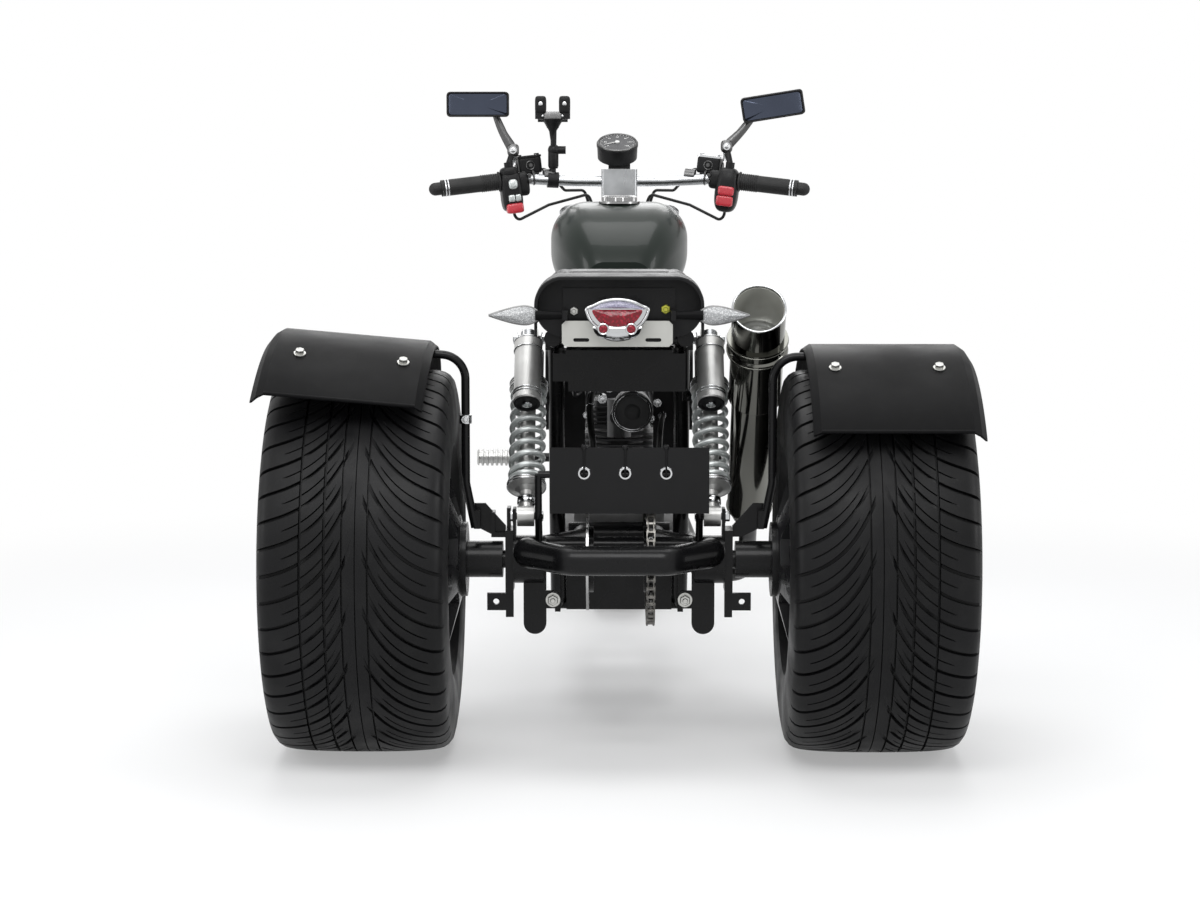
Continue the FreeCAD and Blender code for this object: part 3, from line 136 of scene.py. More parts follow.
# %% World: dim as a light, white where the camera or a mirror sees it
scene = bpy.context.scene
scene.view_settings.view_transform = "Standard"
world = bpy.data.worlds.new("studio")
scene.world = world
world.use_nodes = True
sky = world.node_tree
dim = sky.nodes["Background"]
feed(sky, dim, {"Color": (0.93, 0.96, 1, 1), "Strength": 0.35})
white = add(sky, "Background", {"Color": (1, 1, 1, 1), "Strength": 1.0})
rays = add(sky, "LightPath").outputs
through = larger(sky, rays["Is Glossy Ray"], rays["Is Transmission Ray"])
seen = larger(sky, rays["Is Camera Ray"], through)
mix = add(sky, "MixShader", {0: seen, 1: dim.outputs[0], 2: white.outputs[0]})
feed(sky, sky.nodes["World Output"], {"Surface": mix.outputs[0]})
print("world:", len(sky.nodes), "nodes")


# %% Lamps
def area_lamp(name, place, target, wide, tall, watts):
    """A rectangular lamp at a place, turned so that its -Z looks at the target."""
    data = bpy.data.lights.new(name, "AREA")
    data.shape = "RECTANGLE"
    data.size, data.size_y, data.energy = wide, tall, watts
    lamp = bpy.data.objects.new(name, data)
    scene.collection.objects.link(lamp)
    lamp.location = place
    x, y, z = np.array(target) - np.array(place)
    lamp.rotation_euler = (math.pi / 2 + math.atan2(z, math.hypot(x, y)), 0, math.atan2(-x, y))


LIT_SPOT = (0, 0, 0.5)
for name, place, wide, tall, watts in (
        ("key_lamp", (0.4, 3.4, 3.6), 3.0, 1.8, 95),
        ("left_strip", (3.2, 1.4, 1.7), 0.8, 2.4, 34),
        ("right_strip", (-3.2, 1.4, 1.7), 0.8, 2.4, 34),
        ("top_lamp", (0, -0.2, 3.8), 3.0, 2.4, 70),
        ("front_lamp", (0, -4.2, 2.4), 2.6, 1.8, 40)):
    area_lamp(name, place, LIT_SPOT, wide, tall, watts)
print("lamps:", [thing.name for thing in bpy.data.lights])


# %% Floor
def floor_finish(near, far, least):
    """Pale paint under the trike that turns into even white between two distances from its middle.

    The share of even white is least at the near distance and 1 at the far one.
    """
    material, tree, paint = new_material("pale_floor")
    feed(tree, paint, {"Base Color": (0.86, 0.86, 0.86, 1), "Roughness": 0.7,
                       "Specular IOR Level": 0.2})
    lit = add(tree, "Emission", {"Color": (1, 1, 1, 1), "Strength": 1.0})
    rays = add(tree, "LightPath").outputs
    seen = larger(tree, rays["Is Camera Ray"], rays["Is Glossy Ray"])
    away = add(tree, "VectorMath", {0: object_place(tree)}, operation="LENGTH").outputs["Value"]
    fade = add(tree, "MapRange", {"Value": away, "From Min": near, "From Max": far,
                                  "To Min": least, "To Max": 1.0},
               interpolation_type="SMOOTHSTEP").outputs["Result"]
    share = add(tree, "Math", {0: fade, 1: seen}, operation="MULTIPLY").outputs[0]
    blend = add(tree, "MixShader", {0: share, 1: paint.outputs[0], 2: lit.outputs[0]})
    feed(tree, tree.nodes["Material Output"], {"Surface": blend.outputs[0]})
    return material


FLOOR_HALF = 20
floor_mesh = bpy.data.meshes.new("floor")
floor_mesh.from_pydata([(x * FLOOR_HALF, y * FLOOR_HALF, 0)
                        for x, y in ((-1, -1), (1, -1), (1, 1), (-1, 1))], [], [(0, 1, 2, 3)])
floor = bpy.data.objects.new("floor", floor_mesh)
scene.collection.objects.link(floor)
floor_mesh.materials.append(floor_finish(near=1.1, far=2.6, least=0.35))
print("floor", 2 * FLOOR_HALF, "m wide")

# %% [markdown]
# The camera
# A long lens far behind the trike, at about the height of the bars and tipped a little down, keeps
# the two big tyres nearly their true size and lets the bars show over the seat.

# %% Camera behind the vehicle
CAMERA_BACK = 4.313
CAMERA_UP = 0.9815
LENS = 78.55
TIP_DOWN = math.radians(6.336)
LOOK_LEFT = math.radians(0.42)
camera_data = bpy.data.cameras.new("camera")
camera_data.sensor_width = 36
camera_data.lens = LENS
camera = bpy.data.objects.new("camera", camera_data)
scene.collection.objects.link(camera)
camera.location = (0.0, REAR[1] + CAMERA_BACK, CAMERA_UP)
camera.rotation_euler = (math.pi / 2 - TIP_DOWN, 0, math.pi + LOOK_LEFT)
scene.camera = camera
print("lens", LENS, "mm, camera at", np.array(camera.location).round(3))


# %% [markdown]
# One recipe for every finish
# Paint, rubber, castings and chrome differ in a few things only: colour, how much the colour
# drifts, how rough the surface is and how that drifts, and how bumpy it is and at what grain.
# So one function builds them all from those numbers. The drift comes from noise read in the
# object's own coordinates, which stay put when a wheel or the bars turn.

# %% The finish recipe
FINISH = {}


def noise(tree, scale, detail, stretch=None):
    """Noise over the object's own coordinates, scale in waves to the metre, stretched per axis."""
    place = object_place(tree)
    if stretch:
        place = add(tree, "Mapping", {"Vector": place, "Scale": stretch}).outputs["Vector"]
    return add(tree, "TexNoise", {"Vector": place, "Scale": scale, "Detail": detail}).outputs["Fac"]


def ramp(tree, value, low, high, start=0.3, end=0.7):
    """Blends two colours or two greys as a value passes from start to end."""
    bar = add(tree, "ValToRGB", {"Fac": value})
    for stop, position, colour in zip(bar.color_ramp.elements, (start, end), (low, high)):
        stop.position, stop.color = position, (*np.ones(3) * colour, 1)
    return bar.outputs["Color"]


def finish(name, colour, rough, metal=0.0, drift=0.25, drift_scale=9, rough_drift=0.06, bump=0.0,
           grain=600, stretch=None, coat=0.0, specular=0.5, dust=None):
    """A finish whose colour swings by +-drift and roughness by +-rough_drift; returns its graph.

    A colour is three shares or one grey. Dust is its own grey, its scale and its most cover.
    """
    material, tree, shader = new_material(name)
    colour = np.ones(3) * colour
    shade = ramp(tree, noise(tree, drift_scale, 3), np.clip(colour * (1 - drift), 0, 1),
                 np.clip(colour * (1 + drift), 0, 1))
    if dust:
        grey, fine, cover = dust
        speck = ramp(tree, noise(tree, fine, 6), 0.0, cover, 0.5, 0.8)
        shade = add(tree, "Mix", {"Factor": speck, "A": shade, "B": (*np.ones(3) * grey, 1)},
                    data_type="RGBA").outputs["Result"]
    wear = ramp(tree, noise(tree, drift_scale * 3.1, 4, stretch), max(rough - rough_drift, 0.02),
                min(rough + rough_drift, 1.0))
    feed(tree, shader, {"Base Color": shade, "Roughness": wear, "Metallic": metal,
                        "Specular IOR Level": specular, "Coat Weight": coat,
                        "Coat Roughness": 0.04})
    if bump:
        lift = add(tree, "Bump", {"Height": noise(tree, grain, 4, stretch), "Strength": bump,
                                  "Distance": 0.0006})
        feed(tree, shader, {"Normal": lift.outputs["Normal"]})
    FINISH[name] = material
    return tree


def lens_finish(name, colour, grain, painted_glints, deep):
    """A moulded lens: its inner ribs are bumps, and the light they catch is painted in as bright
    glints at the cells' centres, under a coat.
    """
    tree = finish(name, colour, 0.12, drift=0.35, drift_scale=60, rough_drift=0.03, coat=0.3,
                  specular=0.3)
    cells = add(tree, "TexVoronoi", {"Vector": object_place(tree), "Scale": grain})
    away = cells.outputs["Distance"]
    lift = add(tree, "Bump", {"Height": away, "Strength": 0.35, "Distance": deep})
    # Painted highlight: near each cell's centre the colour turns to the brighter glint colour.
    feed(tree, tree.nodes["Principled BSDF"], {
        "Base Color": ramp(tree, away, painted_glints, colour, 0.05, 0.55),
        "Normal": lift.outputs["Normal"]})


print("recipes: finish, lens_finish")

# %% Blacks: rubber, paint, plastic and vinyl
finish("tread_rubber", (0.0065, 0.0065, 0.007), 0.46, drift=0.3, drift_scale=5, rough_drift=0.12,
       bump=0.35, grain=420, specular=0.16, dust=((0.022, 0.022, 0.021), 26, 0.3))
finish("satin_black", (0.005, 0.005, 0.0053), 0.46, drift=0.12, drift_scale=4, bump=0.22,
       grain=900, specular=0.05, dust=(0.02, 60, 0.10))
finish("chassis_black", (0.006, 0.006, 0.0065), 0.28, drift=0.2, bump=0.2, grain=500, coat=0.08,
       specular=0.16)
finish("tank_gloss", (0.007, 0.012, 0.009), 0.33, drift=0.18, drift_scale=3, rough_drift=0.04,
       bump=0.05, grain=90, coat=0.16, specular=0.2)
finish("wheel_black", (0.011, 0.011, 0.012), 0.28, drift=0.15, bump=0.15, coat=0.2, specular=0.3)
finish("moulded_black", (0.008, 0.008, 0.0085), 0.42, drift=0.15, bump=0.3, grain=1200,
       specular=0.2)
finish("engine_black", (0.022, 0.022, 0.023), 0.42, metal=0.2, drift_scale=30, bump=0.5, grain=900)
finish("grip_rubber", 0.014, 0.58, drift=0.15, bump=0.3, grain=1500, specular=0.3)
finish("hose_rubber", 0.010, 0.38, drift=0.15, bump=0.2, grain=1500, specular=0.3)
finish("seat_vinyl", (0.018, 0.018, 0.019), 0.40, drift=0.12, drift_scale=7, bump=0.7, grain=1100,
       specular=0.5, dust=(0.05, 40, 0.10))
# Painted shade: a near-black finish for the disc that stands for the shade down the silencer's
# outlet hole.
finish("outlet_hole_shade", 0.006, 0.9, drift=0.4, drift_scale=80, specular=0.1)
finish("dial_grey", (0.055, 0.055, 0.058), 0.30, drift=0.06)
print("blacks:", len(FINISH))

# %% Metals
finish("bar_silver", (0.40, 0.41, 0.42), 0.24, metal=1, drift=0.08, drift_scale=25,
       rough_drift=0.05, bump=0.04, grain=1400)
finish("riser_alloy", (0.40, 0.41, 0.42), 0.32, metal=0.9, drift=0.16, drift_scale=22, bump=0.15,
       grain=900, stretch=(1, 1, 0.1))
finish("bright_alloy", (0.66, 0.67, 0.68), 0.20, metal=1, drift=0.10, drift_scale=30,
       rough_drift=0.07, bump=0.06, grain=1400)
finish("brushed_alloy", (0.50, 0.50, 0.49), 0.40, metal=0.75, drift=0.08, drift_scale=30,
       bump=0.08, grain=900, stretch=(1, 1, 0.1))
finish("silver_paint", (0.58, 0.61, 0.60), 0.34, metal=0.45, drift=0.10, drift_scale=40, bump=0.08,
       grain=900)
finish("chrome", (0.56, 0.57, 0.58), 0.09, metal=1, drift=0.05, rough_drift=0.03)
finish("smoked_chrome", (0.17, 0.17, 0.155), 0.10, metal=1, drift=0.15, drift_scale=6,
       rough_drift=0.04, bump=0.02, grain=60)
finish("cast_alloy", 0.20, 0.48, metal=0.8, drift=0.2, drift_scale=30, bump=0.6, grain=900)
finish("dark_steel", 0.10, 0.32, metal=1, drift_scale=30, bump=0.15)
finish("disc_steel", 0.42, 0.26, metal=1, drift=0.1, bump=0.2, grain=500, stretch=(0.05, 1, 1))
finish("chain_steel", (0.16, 0.155, 0.145), 0.36, metal=1, drift=0.4, drift_scale=120, bump=0.15)
finish("sleeve_grey", (0.37, 0.37, 0.335), 0.42, metal=0.3, drift=0.06, drift_scale=10, bump=0.1,
       dust=((0.24, 0.24, 0.22), 30, 0.2))
finish("hex_zinc", (0.50, 0.50, 0.48), 0.30, metal=1, drift=0.06, drift_scale=300, bump=0.1)
finish("yellow_zinc", (0.46, 0.46, 0.07), 0.32, metal=0.8, drift=0.08, drift_scale=300, bump=0.1)
finish("pale_plate", (0.50, 0.50, 0.47), 0.36, metal=0.35, drift=0.06, drift_scale=14, bump=0.05)
finish("fuel_cap", 0.30, 0.22, metal=1, drift=0.1)
# Painted reflection: the mirror glass gets a dark cold colour for the dark studio it mirrors.
finish("mirror_painted_reflection", (0.060, 0.070, 0.098), 0.14, metal=0.9, drift=0.12, drift_scale=8,
       rough_drift=0.02)
print("with metals:", len(FINISH))

# %% Colours and lenses
finish("button_red", (0.52, 0.035, 0.05), 0.30, drift=0.1, bump=0.08, coat=0.3)
finish("tag_white", (0.74, 0.74, 0.72), 0.5, drift=0.03)
lens_finish("lens_red", (0.16, 0.001, 0.008), 260, (0.46, 0.004, 0.03), 0.0012)
lens_finish("lens_pale", (0.26, 0.25, 0.34), 420, (0.56, 0.53, 0.68), 0.0006)
lens_finish("lens_mesh", (0.36, 0.365, 0.37), 420, (0.86, 0.87, 0.87), 0.0009)
print("finishes:", len(FINISH))

# %% Finishes of the solids
for finish_name, node_names in {
        "tread_rubber": "rear_tyre_left rear_tyre_right front_tyre",
        "wheel_black": "rear_wheel_left rear_wheel_right front_wheel",
        "chassis_black": "frame swinging_fork rear_guard fender_stay_left fender_stay_right "
                         "rear_axle battery_box belly_plate light_bracket",
        "satin_black": "fender_left fender_right",
        "tank_gloss": "fuel_tank front_fender headlight",
        "smoked_chrome": "muffler",
        "bar_silver": "handlebar",
        "riser_alloy": "riser_clamp",
        "bright_alloy": "fork foot_pegs",
        "brushed_alloy": "shock_left shock_right",
        "silver_paint": "spring_left spring_right",
        "dark_steel": "exhaust_pipe chain sprocket front_spindle",
        "disc_steel": "rear_brake_disc front_brake_disc",
        "cast_alloy": "engine_case fork_sliders front_caliper",
        "engine_black": "engine_cylinder carburettor",
        "moulded_black": "switch_pods gauge levers mirror_left mirror_right splash_flap "
                         "phone_holder side_covers tail_cover",
        "hose_rubber": "cables",
        "grip_rubber": "grips",
        "seat_vinyl": "seat",
        "pale_plate": "plate_bracket",
        "mirror_painted_reflection": "tail_light rear_signals"}.items():
    for node_name in node_names.split():
        slots = nodes[node_name].data.materials
        for number in range(len(slots)):
            slots[number] = FINISH[finish_name]
print("solids dressed:", len(nodes))


# %% [markdown]
# Surfaces from two numbers
# A tyre, a spring or a lens rim is a sheet bent in space: give it two numbers, say how far round
# and how far along, and it gives back a place. Working out the whole sheet as one array is
# quicker than a loop and shorter to read, and the faces follow from the grid itself.

# %% From a grid of places to a mesh
def sheet_of(places, ends="caps"):
    """A surface over a grid of places whose columns close round, as (points, quads, fans).

    Its first and last rows close on their own centres ("caps"), meet ("loop") or stay "open".
    """
    rows, across = places.shape[:2]
    points = places.reshape(-1, 3)
    row, column = np.meshgrid(np.arange(rows if ends == "loop" else rows - 1), np.arange(across),
                              indexing="ij")
    here, there = row * across, (row + 1) % rows * across
    beside = (column + 1) % across
    quads = np.stack([here + column, here + beside, there + beside, there + column], -1)
    fans = np.zeros((0, 3), int)
    if ends == "caps":
        points = np.vstack([points, places[0].mean(0), places[-1].mean(0)])
        edge = np.arange(across)
        after = (edge + 1) % across
        start, last = rows * across, (rows - 1) * across
        fans = np.vstack([np.stack([np.full(across, start), after, edge], 1),
                          np.stack([np.full(across, start + 1), last + edge, last + after], 1)])
    return points, quads.reshape(-1, 4), fans


def make(name, surfaces, finish_name, slot, body="chassis", sharp=40, replaces=()):
    """Joins surfaces into one mesh, turns it outwards, smooths it and puts it on a body."""
    points, loops, sizes, first = [], [], [], 0
    for spots, quads, fans in surfaces:
        points.append(spots)
        for faces in (quads, fans):
            loops.append((faces + first).ravel())
            sizes.append(np.full(len(faces), faces.shape[1]))
        first += len(spots)
    points, loops, sizes = np.vstack(points), np.concatenate(loops), np.concatenate(sizes)
    mesh = bpy.data.meshes.new(name)
    mesh.vertices.add(len(points))
    mesh.vertices.foreach_set("co", points.astype(np.float32).ravel())
    mesh.loops.add(len(loops))
    mesh.loops.foreach_set("vertex_index", loops.astype(np.int32))
    mesh.polygons.add(len(sizes))
    mesh.polygons.foreach_set("loop_start", (np.cumsum(sizes) - sizes).astype(np.int32))
    mesh.update(calc_edges=True)
    mesh.validate()
    clean(mesh, 1e-6)
    mesh.shade_smooth()
    mesh.set_sharp_from_angle(angle=math.radians(sharp))
    mesh.materials.append(FINISH[finish_name])
    piece = bpy.data.objects.new(name, mesh)
    scene.collection.objects.link(piece)
    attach(piece, body)
    if replaces:
        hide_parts(*replaces)
    return piece


def clean(mesh, near):
    """Merges points that are nearer than a distance and turns every face outwards."""
    shape = bmesh.new()
    shape.from_mesh(mesh)
    bmesh.ops.remove_doubles(shape, verts=shape.verts, dist=near)
    bmesh.ops.recalc_face_normals(shape, faces=shape.faces)
    shape.to_mesh(mesh)
    shape.free()


print("tools: sheet_of, make, clean")


# %% [markdown]
# Profiles carried round and along
# Nearly every part of a motorcycle is turned on a lathe or drawn as a tube. Both are a profile
# carried along a path: a circle for the lathe, the tube's own centre line for the tube.

# %% Lathe, ring and tube
def unit(ways):
    """Ways cut to a length of one."""
    return ways / np.linalg.norm(ways, axis=-1, keepdims=True)


def circle(steps):
    """Even angles once round, as rows of (cos, sin)."""
    turn = np.linspace(0, 2 * math.pi, steps, endpoint=False)
    return np.stack([np.cos(turn), np.sin(turn)], 1)


def stand(way):
    """Three unit axes with the third along a way: the others are any two square to it."""
    way = unit(np.asarray(way, float))
    side = unit(np.cross(way, UP if abs(way[2]) < 0.9 else BACK))
    return np.stack([side, np.cross(way, side), way])


def lathe(profile, centre, way, steps=48, sides=None, ends="caps"):
    """Turns rows of (radius, height) round a way: place = centre + r (cos a, sin a) + h way.

    With sides, the radius follows a polygon: r / cos of the angle to the nearest flat's middle.
    """
    profile = np.asarray(profile, float)
    radius = profile[:, :1] * np.ones(steps)
    if sides:
        turn = np.linspace(0, 2 * math.pi, steps, endpoint=False)
        part = math.pi / sides
        radius = radius * (1 / np.cos((turn + part) % (2 * part) - part))
    x, y = circle(steps).T
    local = np.stack([radius * x, radius * y, np.repeat(profile[:, 1:2], steps, 1)], -1)
    return sheet_of(local @ stand(way) + np.asarray(centre, float), ends)


def ring(radius, thick, centre, way, steps=40, sides=8):
    """A torus: a small circle of radius thick carried round a circle of radius radius."""
    small, big = circle(sides), circle(steps)
    out = radius + thick * small[:, 0]
    local = np.stack([out * big[:, :1], out * big[:, 1:],
                      np.repeat(thick * small[:, 1][None], steps, 0)], -1)
    return sheet_of(local @ stand(way) + np.asarray(centre, float), "loop")


def tube(path, radius, sides=12, lean=UP, loop=False, squeeze=1.0):
    """A round or oval profile along a path: its cross axes are square to the path's slope."""
    path = np.asarray(path, float)
    step = np.roll(path, -1, 0) - np.roll(path, 1, 0) if loop else np.gradient(path, axis=0)
    slope = unit(step)
    side = unit(np.cross(slope, np.asarray(lean, float)))
    up = np.cross(side, slope)
    wide = np.broadcast_to(np.asarray(radius, float).reshape(-1, 1), (len(path), 1))
    x, y = circle(sides).T
    cross = side[:, None] * x[:, None] + squeeze * up[:, None] * y[:, None]
    return sheet_of(path[:, None] + wide[..., None] * cross, "loop" if loop else "caps")


print("tools: lathe, ring, tube")


# %% Curves, plates, domes and bolts
def smooth_path(stops, count):
    """A Catmull-Rom curve: on each run the place is a cubic of the four stops round it."""
    stops = np.asarray(stops, float)
    padded = np.vstack([2 * stops[0] - stops[1], stops, 2 * stops[-1] - stops[-2]])
    where = np.linspace(0, len(stops) - 1 - 1e-9, count)
    run = where.astype(int)
    t = (where - run)[:, None]
    a, b, c, d = (padded[run + k] for k in range(4))
    return 0.5 * (2 * b + (c - a) * t + (2 * a - 5 * b + 4 * c - d) * t ** 2
                  + (3 * b - a - 3 * c + d) * t ** 3)


def closed_curve(stops, count):
    """A smooth closed outline through its stops, evenly sampled."""
    stops = np.asarray(stops, float)
    around = np.vstack([stops[-3:], stops, stops[:3]])
    fine = smooth_path(around, (len(around) - 1) * 24 + 1)
    fine = fine[72:72 + len(stops) * 24]
    return fine[np.linspace(0, len(fine), count, endpoint=False).astype(int)]


def running_length(path):
    """How far along a path each place is: the running sum of the steps between places."""
    return np.concatenate([[0], np.cumsum(np.linalg.norm(np.diff(path, axis=0), axis=1))])


def sample(where, length, path):
    """Places on a path, on straight lines between its stops, at chosen lengths along it."""
    return np.stack([np.interp(where, length, column) for column in path.T], 1)


def ease(value, start, end):
    """0 before start, 1 after end, and the cubic 3t^2 - 2t^3 between."""
    t = np.clip((value - start) / (end - start), 0, 1)
    return t * t * (3 - 2 * t)


def plate(outline, low, high, centre, across, up, edge):
    """A flat piece: an outline of (across, up) pulled from low to high, its rims drawn in."""
    outline = np.asarray(outline, float)
    across, up = np.asarray(across, float), np.asarray(up, float)
    heart = outline.mean(0)
    reach = np.linalg.norm(outline - heart, axis=1, keepdims=True)
    drawn = heart + (outline - heart) * (1 - edge / reach)
    places = np.stack([shape[:, :1] * across + shape[:, 1:] * up + np.cross(across, up) * z
                       for shape, z in ((drawn, low), (outline, low + edge),
                                        (outline, high - edge), (drawn, high))])
    return sheet_of(places + np.asarray(centre, float))


def rounded_box(wide, tall, corner):
    """A rectangle with round corners: four quarter circles set in from its corners."""
    turn = np.linspace(0, math.pi / 2, 6)
    quarter = np.stack([np.cos(turn), np.sin(turn)], 1) * corner
    inset = np.array([wide / 2 - corner, tall / 2 - corner])
    return np.vstack([quarter @ np.array(spin) + inset * sign for spin, sign in (
        (((1, 0), (0, 1)), (1, 1)), (((0, 1), (-1, 0)), (-1, 1)),
        (((-1, 0), (0, -1)), (-1, -1)), (((0, -1), (1, 0)), (1, -1)))])


def pebble(low, high, power=0.5, rows=16, steps=32, spot=(0, 0, 0)):
    """A box grown round: cosines and sines to a power under 1 push a ball out to its corners."""
    low, high = np.asarray(low, float), np.asarray(high, float)
    up = np.linspace(-math.pi / 2, math.pi / 2, rows)[:, None]
    turn = np.linspace(0, 2 * math.pi, steps, endpoint=False)[None]

    def swell(value):
        return np.sign(value) * np.abs(value) ** power

    unit_box = np.stack([swell(np.cos(up)) * swell(np.cos(turn)),
                         swell(np.cos(up)) * swell(np.sin(turn)),
                         swell(np.sin(up)) * np.ones_like(turn)], -1)
    places = (low + high) / 2 + unit_box * (high - low) / 2
    return sheet_of(places + np.asarray(spot, float))


def dome(outline, high, centre, across, up, rows=9, sink=0.0, power=2.0):
    """A crowned lens: the outline shrinks by k from 1 to 0 and rises by high (1 - k^power)."""
    deep = np.cross(across, up)
    heart = outline.mean(0)
    share = np.concatenate([[1.0], np.linspace(1.0, 0.04, rows)])
    rise = np.concatenate([[-sink], high * (1 - share[1:] ** power)])
    flat = heart + (outline - heart)[None] * share[:, None, None]
    places = flat[..., :1] * across + flat[..., 1:] * up + rise[:, None, None] * deep
    return sheet_of(places + centre)


def hex_bolt(place, way, flats, thread=0.0, washer=True):
    """A washer, a hexagon head with a chamfered crown, and if asked a length of thread."""
    half = flats / 2
    head = [(half, 0), (half, 0.5 * flats), (half * 0.86, 0.58 * flats), (half * 0.3, 0.60 * flats)]
    parts = [lathe(head, place, way, 36, sides=6)]
    if washer:
        parts.append(lathe([(half * 1.55, -0.0012), (half * 1.6, 0.0), (half * 1.5, 0.0014)],
                           place, way, 28))
    if thread:
        top = 0.6 * flats + thread
        parts.append(lathe([(half * 0.55, 0.5 * flats), (half * 0.55, top),
                            (half * 0.45, top + 0.001)], place, way, 20))
    return parts


print("tools: smooth_path, plate, rounded_box, pebble, dome, hex_bolt")


# %% [markdown]
# Tyres
# A tyre is moulded: a smooth carcass profile turned round the axle, with the tread pattern cut
# into the mould. So the carcass is a curve through a few points of the solid's own profile, and
# the tread is a depth taken off along the curve's normal. The long arrow-shaped grooves swing out
# from the middle: near it they run almost lengthwise, at the shoulder almost across. The rows of
# the grid follow the grooves, so each groove wall is exactly one row of faces and stays crisp.

# %% A carcass curve and a tread cut into it, 6.5 mm deep
def carcass(radius, half, bead, lip):
    """The profile from bead over crown to bead as (along the axle, radius), with its normals.

    The curve runs through points set as shares of the radius and of the half width. The last
    thing given back is the length along it, counted from the middle of the crown.
    """
    rise = radius - bead
    side = [(lip, bead), (lip, bead + 0.014), (half * 0.965, bead + rise * 0.22),
            (half * 0.995, bead + rise * 0.42), (half, bead + rise * 0.62),
            (half * 0.965, radius * 0.925), (half * 0.915, radius * 0.963),
            (half * 0.80, radius * 0.984), (half * 0.5, radius * 0.996)]
    stops = side + [(0.0, radius * 0.9998)] + [(-x, r) for x, r in side[::-1]]
    curve = smooth_path(stops, 900)
    step = unit(np.gradient(curve, axis=0))
    normal = np.stack([step[:, 1], -step[:, 0]], 1)
    normal *= np.sign((normal * (curve - [0, bead])).sum(1, keepdims=True))
    length = running_length(curve)
    return curve, normal, length - np.interp(0, -curve[:, 0], length)


GROOVE_HALF, WALL, SIPE = 0.0023, 0.0007, 0.0006
GROOVE_DEEP, SIPE_DEEP, RIB_DEEP = 0.0065, 0.0042, 0.0055
REACH = 0.052


def treaded(name, node, body, side, pitches, scale, apex, rim_half):
    """A tyre in place of its solid: groove rows at one phase, pitches x angle + swing(|u|).

    u is the distance from the apex line; swing = 3.8 (1 - e^(-|u| / 52 mm)) pitches, so the
    grooves leave the apex at 70 degrees to the axle and reach the shoulder at 20.
    """
    wide = span(node)
    radius, half = wide[2] / 2 - 0.0004, wide[0] / 2 - 0.0006
    bead = 0.158 if radius > 0.3 else 0.128
    curve, normal, length = carcass(radius, half, bead, rim_half)
    run = length[-1]
    tread = half * 0.93
    ribs = np.array([(0.0, 0.0016), (0.0195, 0.003), (-0.0205, 0.003), (-0.048, 0.0045),
                     (-0.086, 0.004)]) * scale
    wall_columns = np.linspace(tread, run, 18)[1:]
    columns = [np.linspace(-tread, tread, 34), wall_columns, -wall_columns]
    for place, width in ribs:
        columns.append(apex + place + np.array([-0.5, -0.32, 0.32, 0.5]) * width)
    along = np.unique(np.round(np.concatenate(columns), 5))
    u = along - apex
    far = np.abs(u)
    fall = np.exp(-far / (REACH * scale))
    slope, swing = 3.2 * fall, 3.8 * (1 - fall)
    pitch = 2 * math.pi * radius / pitches

    def phase_of(width):
        """The share of a pitch that a width square to the groove takes up round the tyre."""
        return width * scale * np.sqrt(1 + slope ** 2) / pitch

    half_cut, wall, sipe = phase_of(GROOVE_HALF), phase_of(WALL), phase_of(SIPE)
    rest = 1 - 2 * (half_cut + wall)
    level = half_cut + wall
    slit = level + rest * 0.45
    rows = np.stack([-half_cut, half_cut, level, level + rest * 0.22, slit - 2 * sipe, slit - sipe,
                     slit + sipe, slit + 2 * sipe, level + rest * 0.72, level + rest])
    kinds = np.array([1, 1, 0, 0, 0, 2, 2, 0, 0, 0])
    number = np.repeat(np.arange(pitches), len(kinds))
    kind = np.tile(kinds, pitches)[:, None]
    odd = (number % 2)[:, None]
    angle = (number[:, None] + np.tile(rows, (pitches, 1)) - swing) * 2 * math.pi / pitches
    begin = (0.012 + 0.012 * odd) * scale
    outer = np.where(u > 0, tread * 1.06 - apex, tread * 1.06 + apex)
    groove = (ease(far, begin, begin + 0.010 * scale)
              * (1 - ease(far, outer - 0.004 * scale, outer + 0.006 * scale)))
    groove = groove * np.where((u < -0.080 * scale) & (u > -0.090 * scale), 0.4, 1.0)
    narrow = (ease(far, 0.036 * scale, 0.044 * scale)
              * (1 - ease(far, 0.104 * scale, 0.112 * scale)))
    cut = np.where(kind == 1, GROOVE_DEEP * groove, 0) + np.where(kind == 2, SIPE_DEEP * narrow, 0)
    for place, width in ribs:
        cut = np.where(np.abs(u - place) < 0.4 * width, np.maximum(cut, RIB_DEEP), cut)
    side_ridge = sum(high * np.exp(-((np.abs(along) - (run - where)) / wide_by) ** 2)
                     for where, high, wide_by in ((0.045, 0.0014, 0.004), (0.085, 0.0010, 0.0022),
                                                  (0.094, 0.0010, 0.0022)))
    off = side_ridge * (np.abs(along) > tread) - cut * scale ** 0.5
    place = sample(along, length, curve) + off[..., None] * sample(along, length, normal)
    place[..., 1] = np.minimum(place[..., 1], radius)
    places = np.stack([side * place[..., 0], place[..., 1] * np.cos(angle),
                       place[..., 1] * np.sin(angle)], -1)
    piece = make(name, [sheet_of(places + middle(node), "loop")], "tread_rubber", "tyre", body,
                 sharp=28, replaces=(node,))
    print(name, len(piece.data.polygons), "faces")


for word, side in SIDES:
    treaded(f"treaded_tyre_{word}", f"rear_tyre_{word}", "rear_axle_set", side, pitches=46,
            scale=1.0, apex=0.010, rim_half=0.117)
treaded("treaded_tyre_front", "front_tyre", "front_wheel_set", 1, pitches=40, scale=0.45,
        apex=0.0, rim_half=0.038)

# %% [markdown]
# Shocks
# A coil-over shock is what one sees first from behind: a pale spring wound from thick wire, its end
# turns closed up, a collar above and below it, and a gas bottle beside it. The spring is a round
# wire carried along a helix whose pitch closes at both ends.

# %% Springs with closed end turns
EYE_STEP = 0.230, 0.279  # from the lower eye to the upper one: forward and up
LEAN = math.atan2(*EYE_STEP)
UP_SHOCK = np.array([0.0, -math.sin(LEAN), math.cos(LEAN)])
BACK_SHOCK = np.array([0.0, math.cos(LEAN), math.sin(LEAN)])


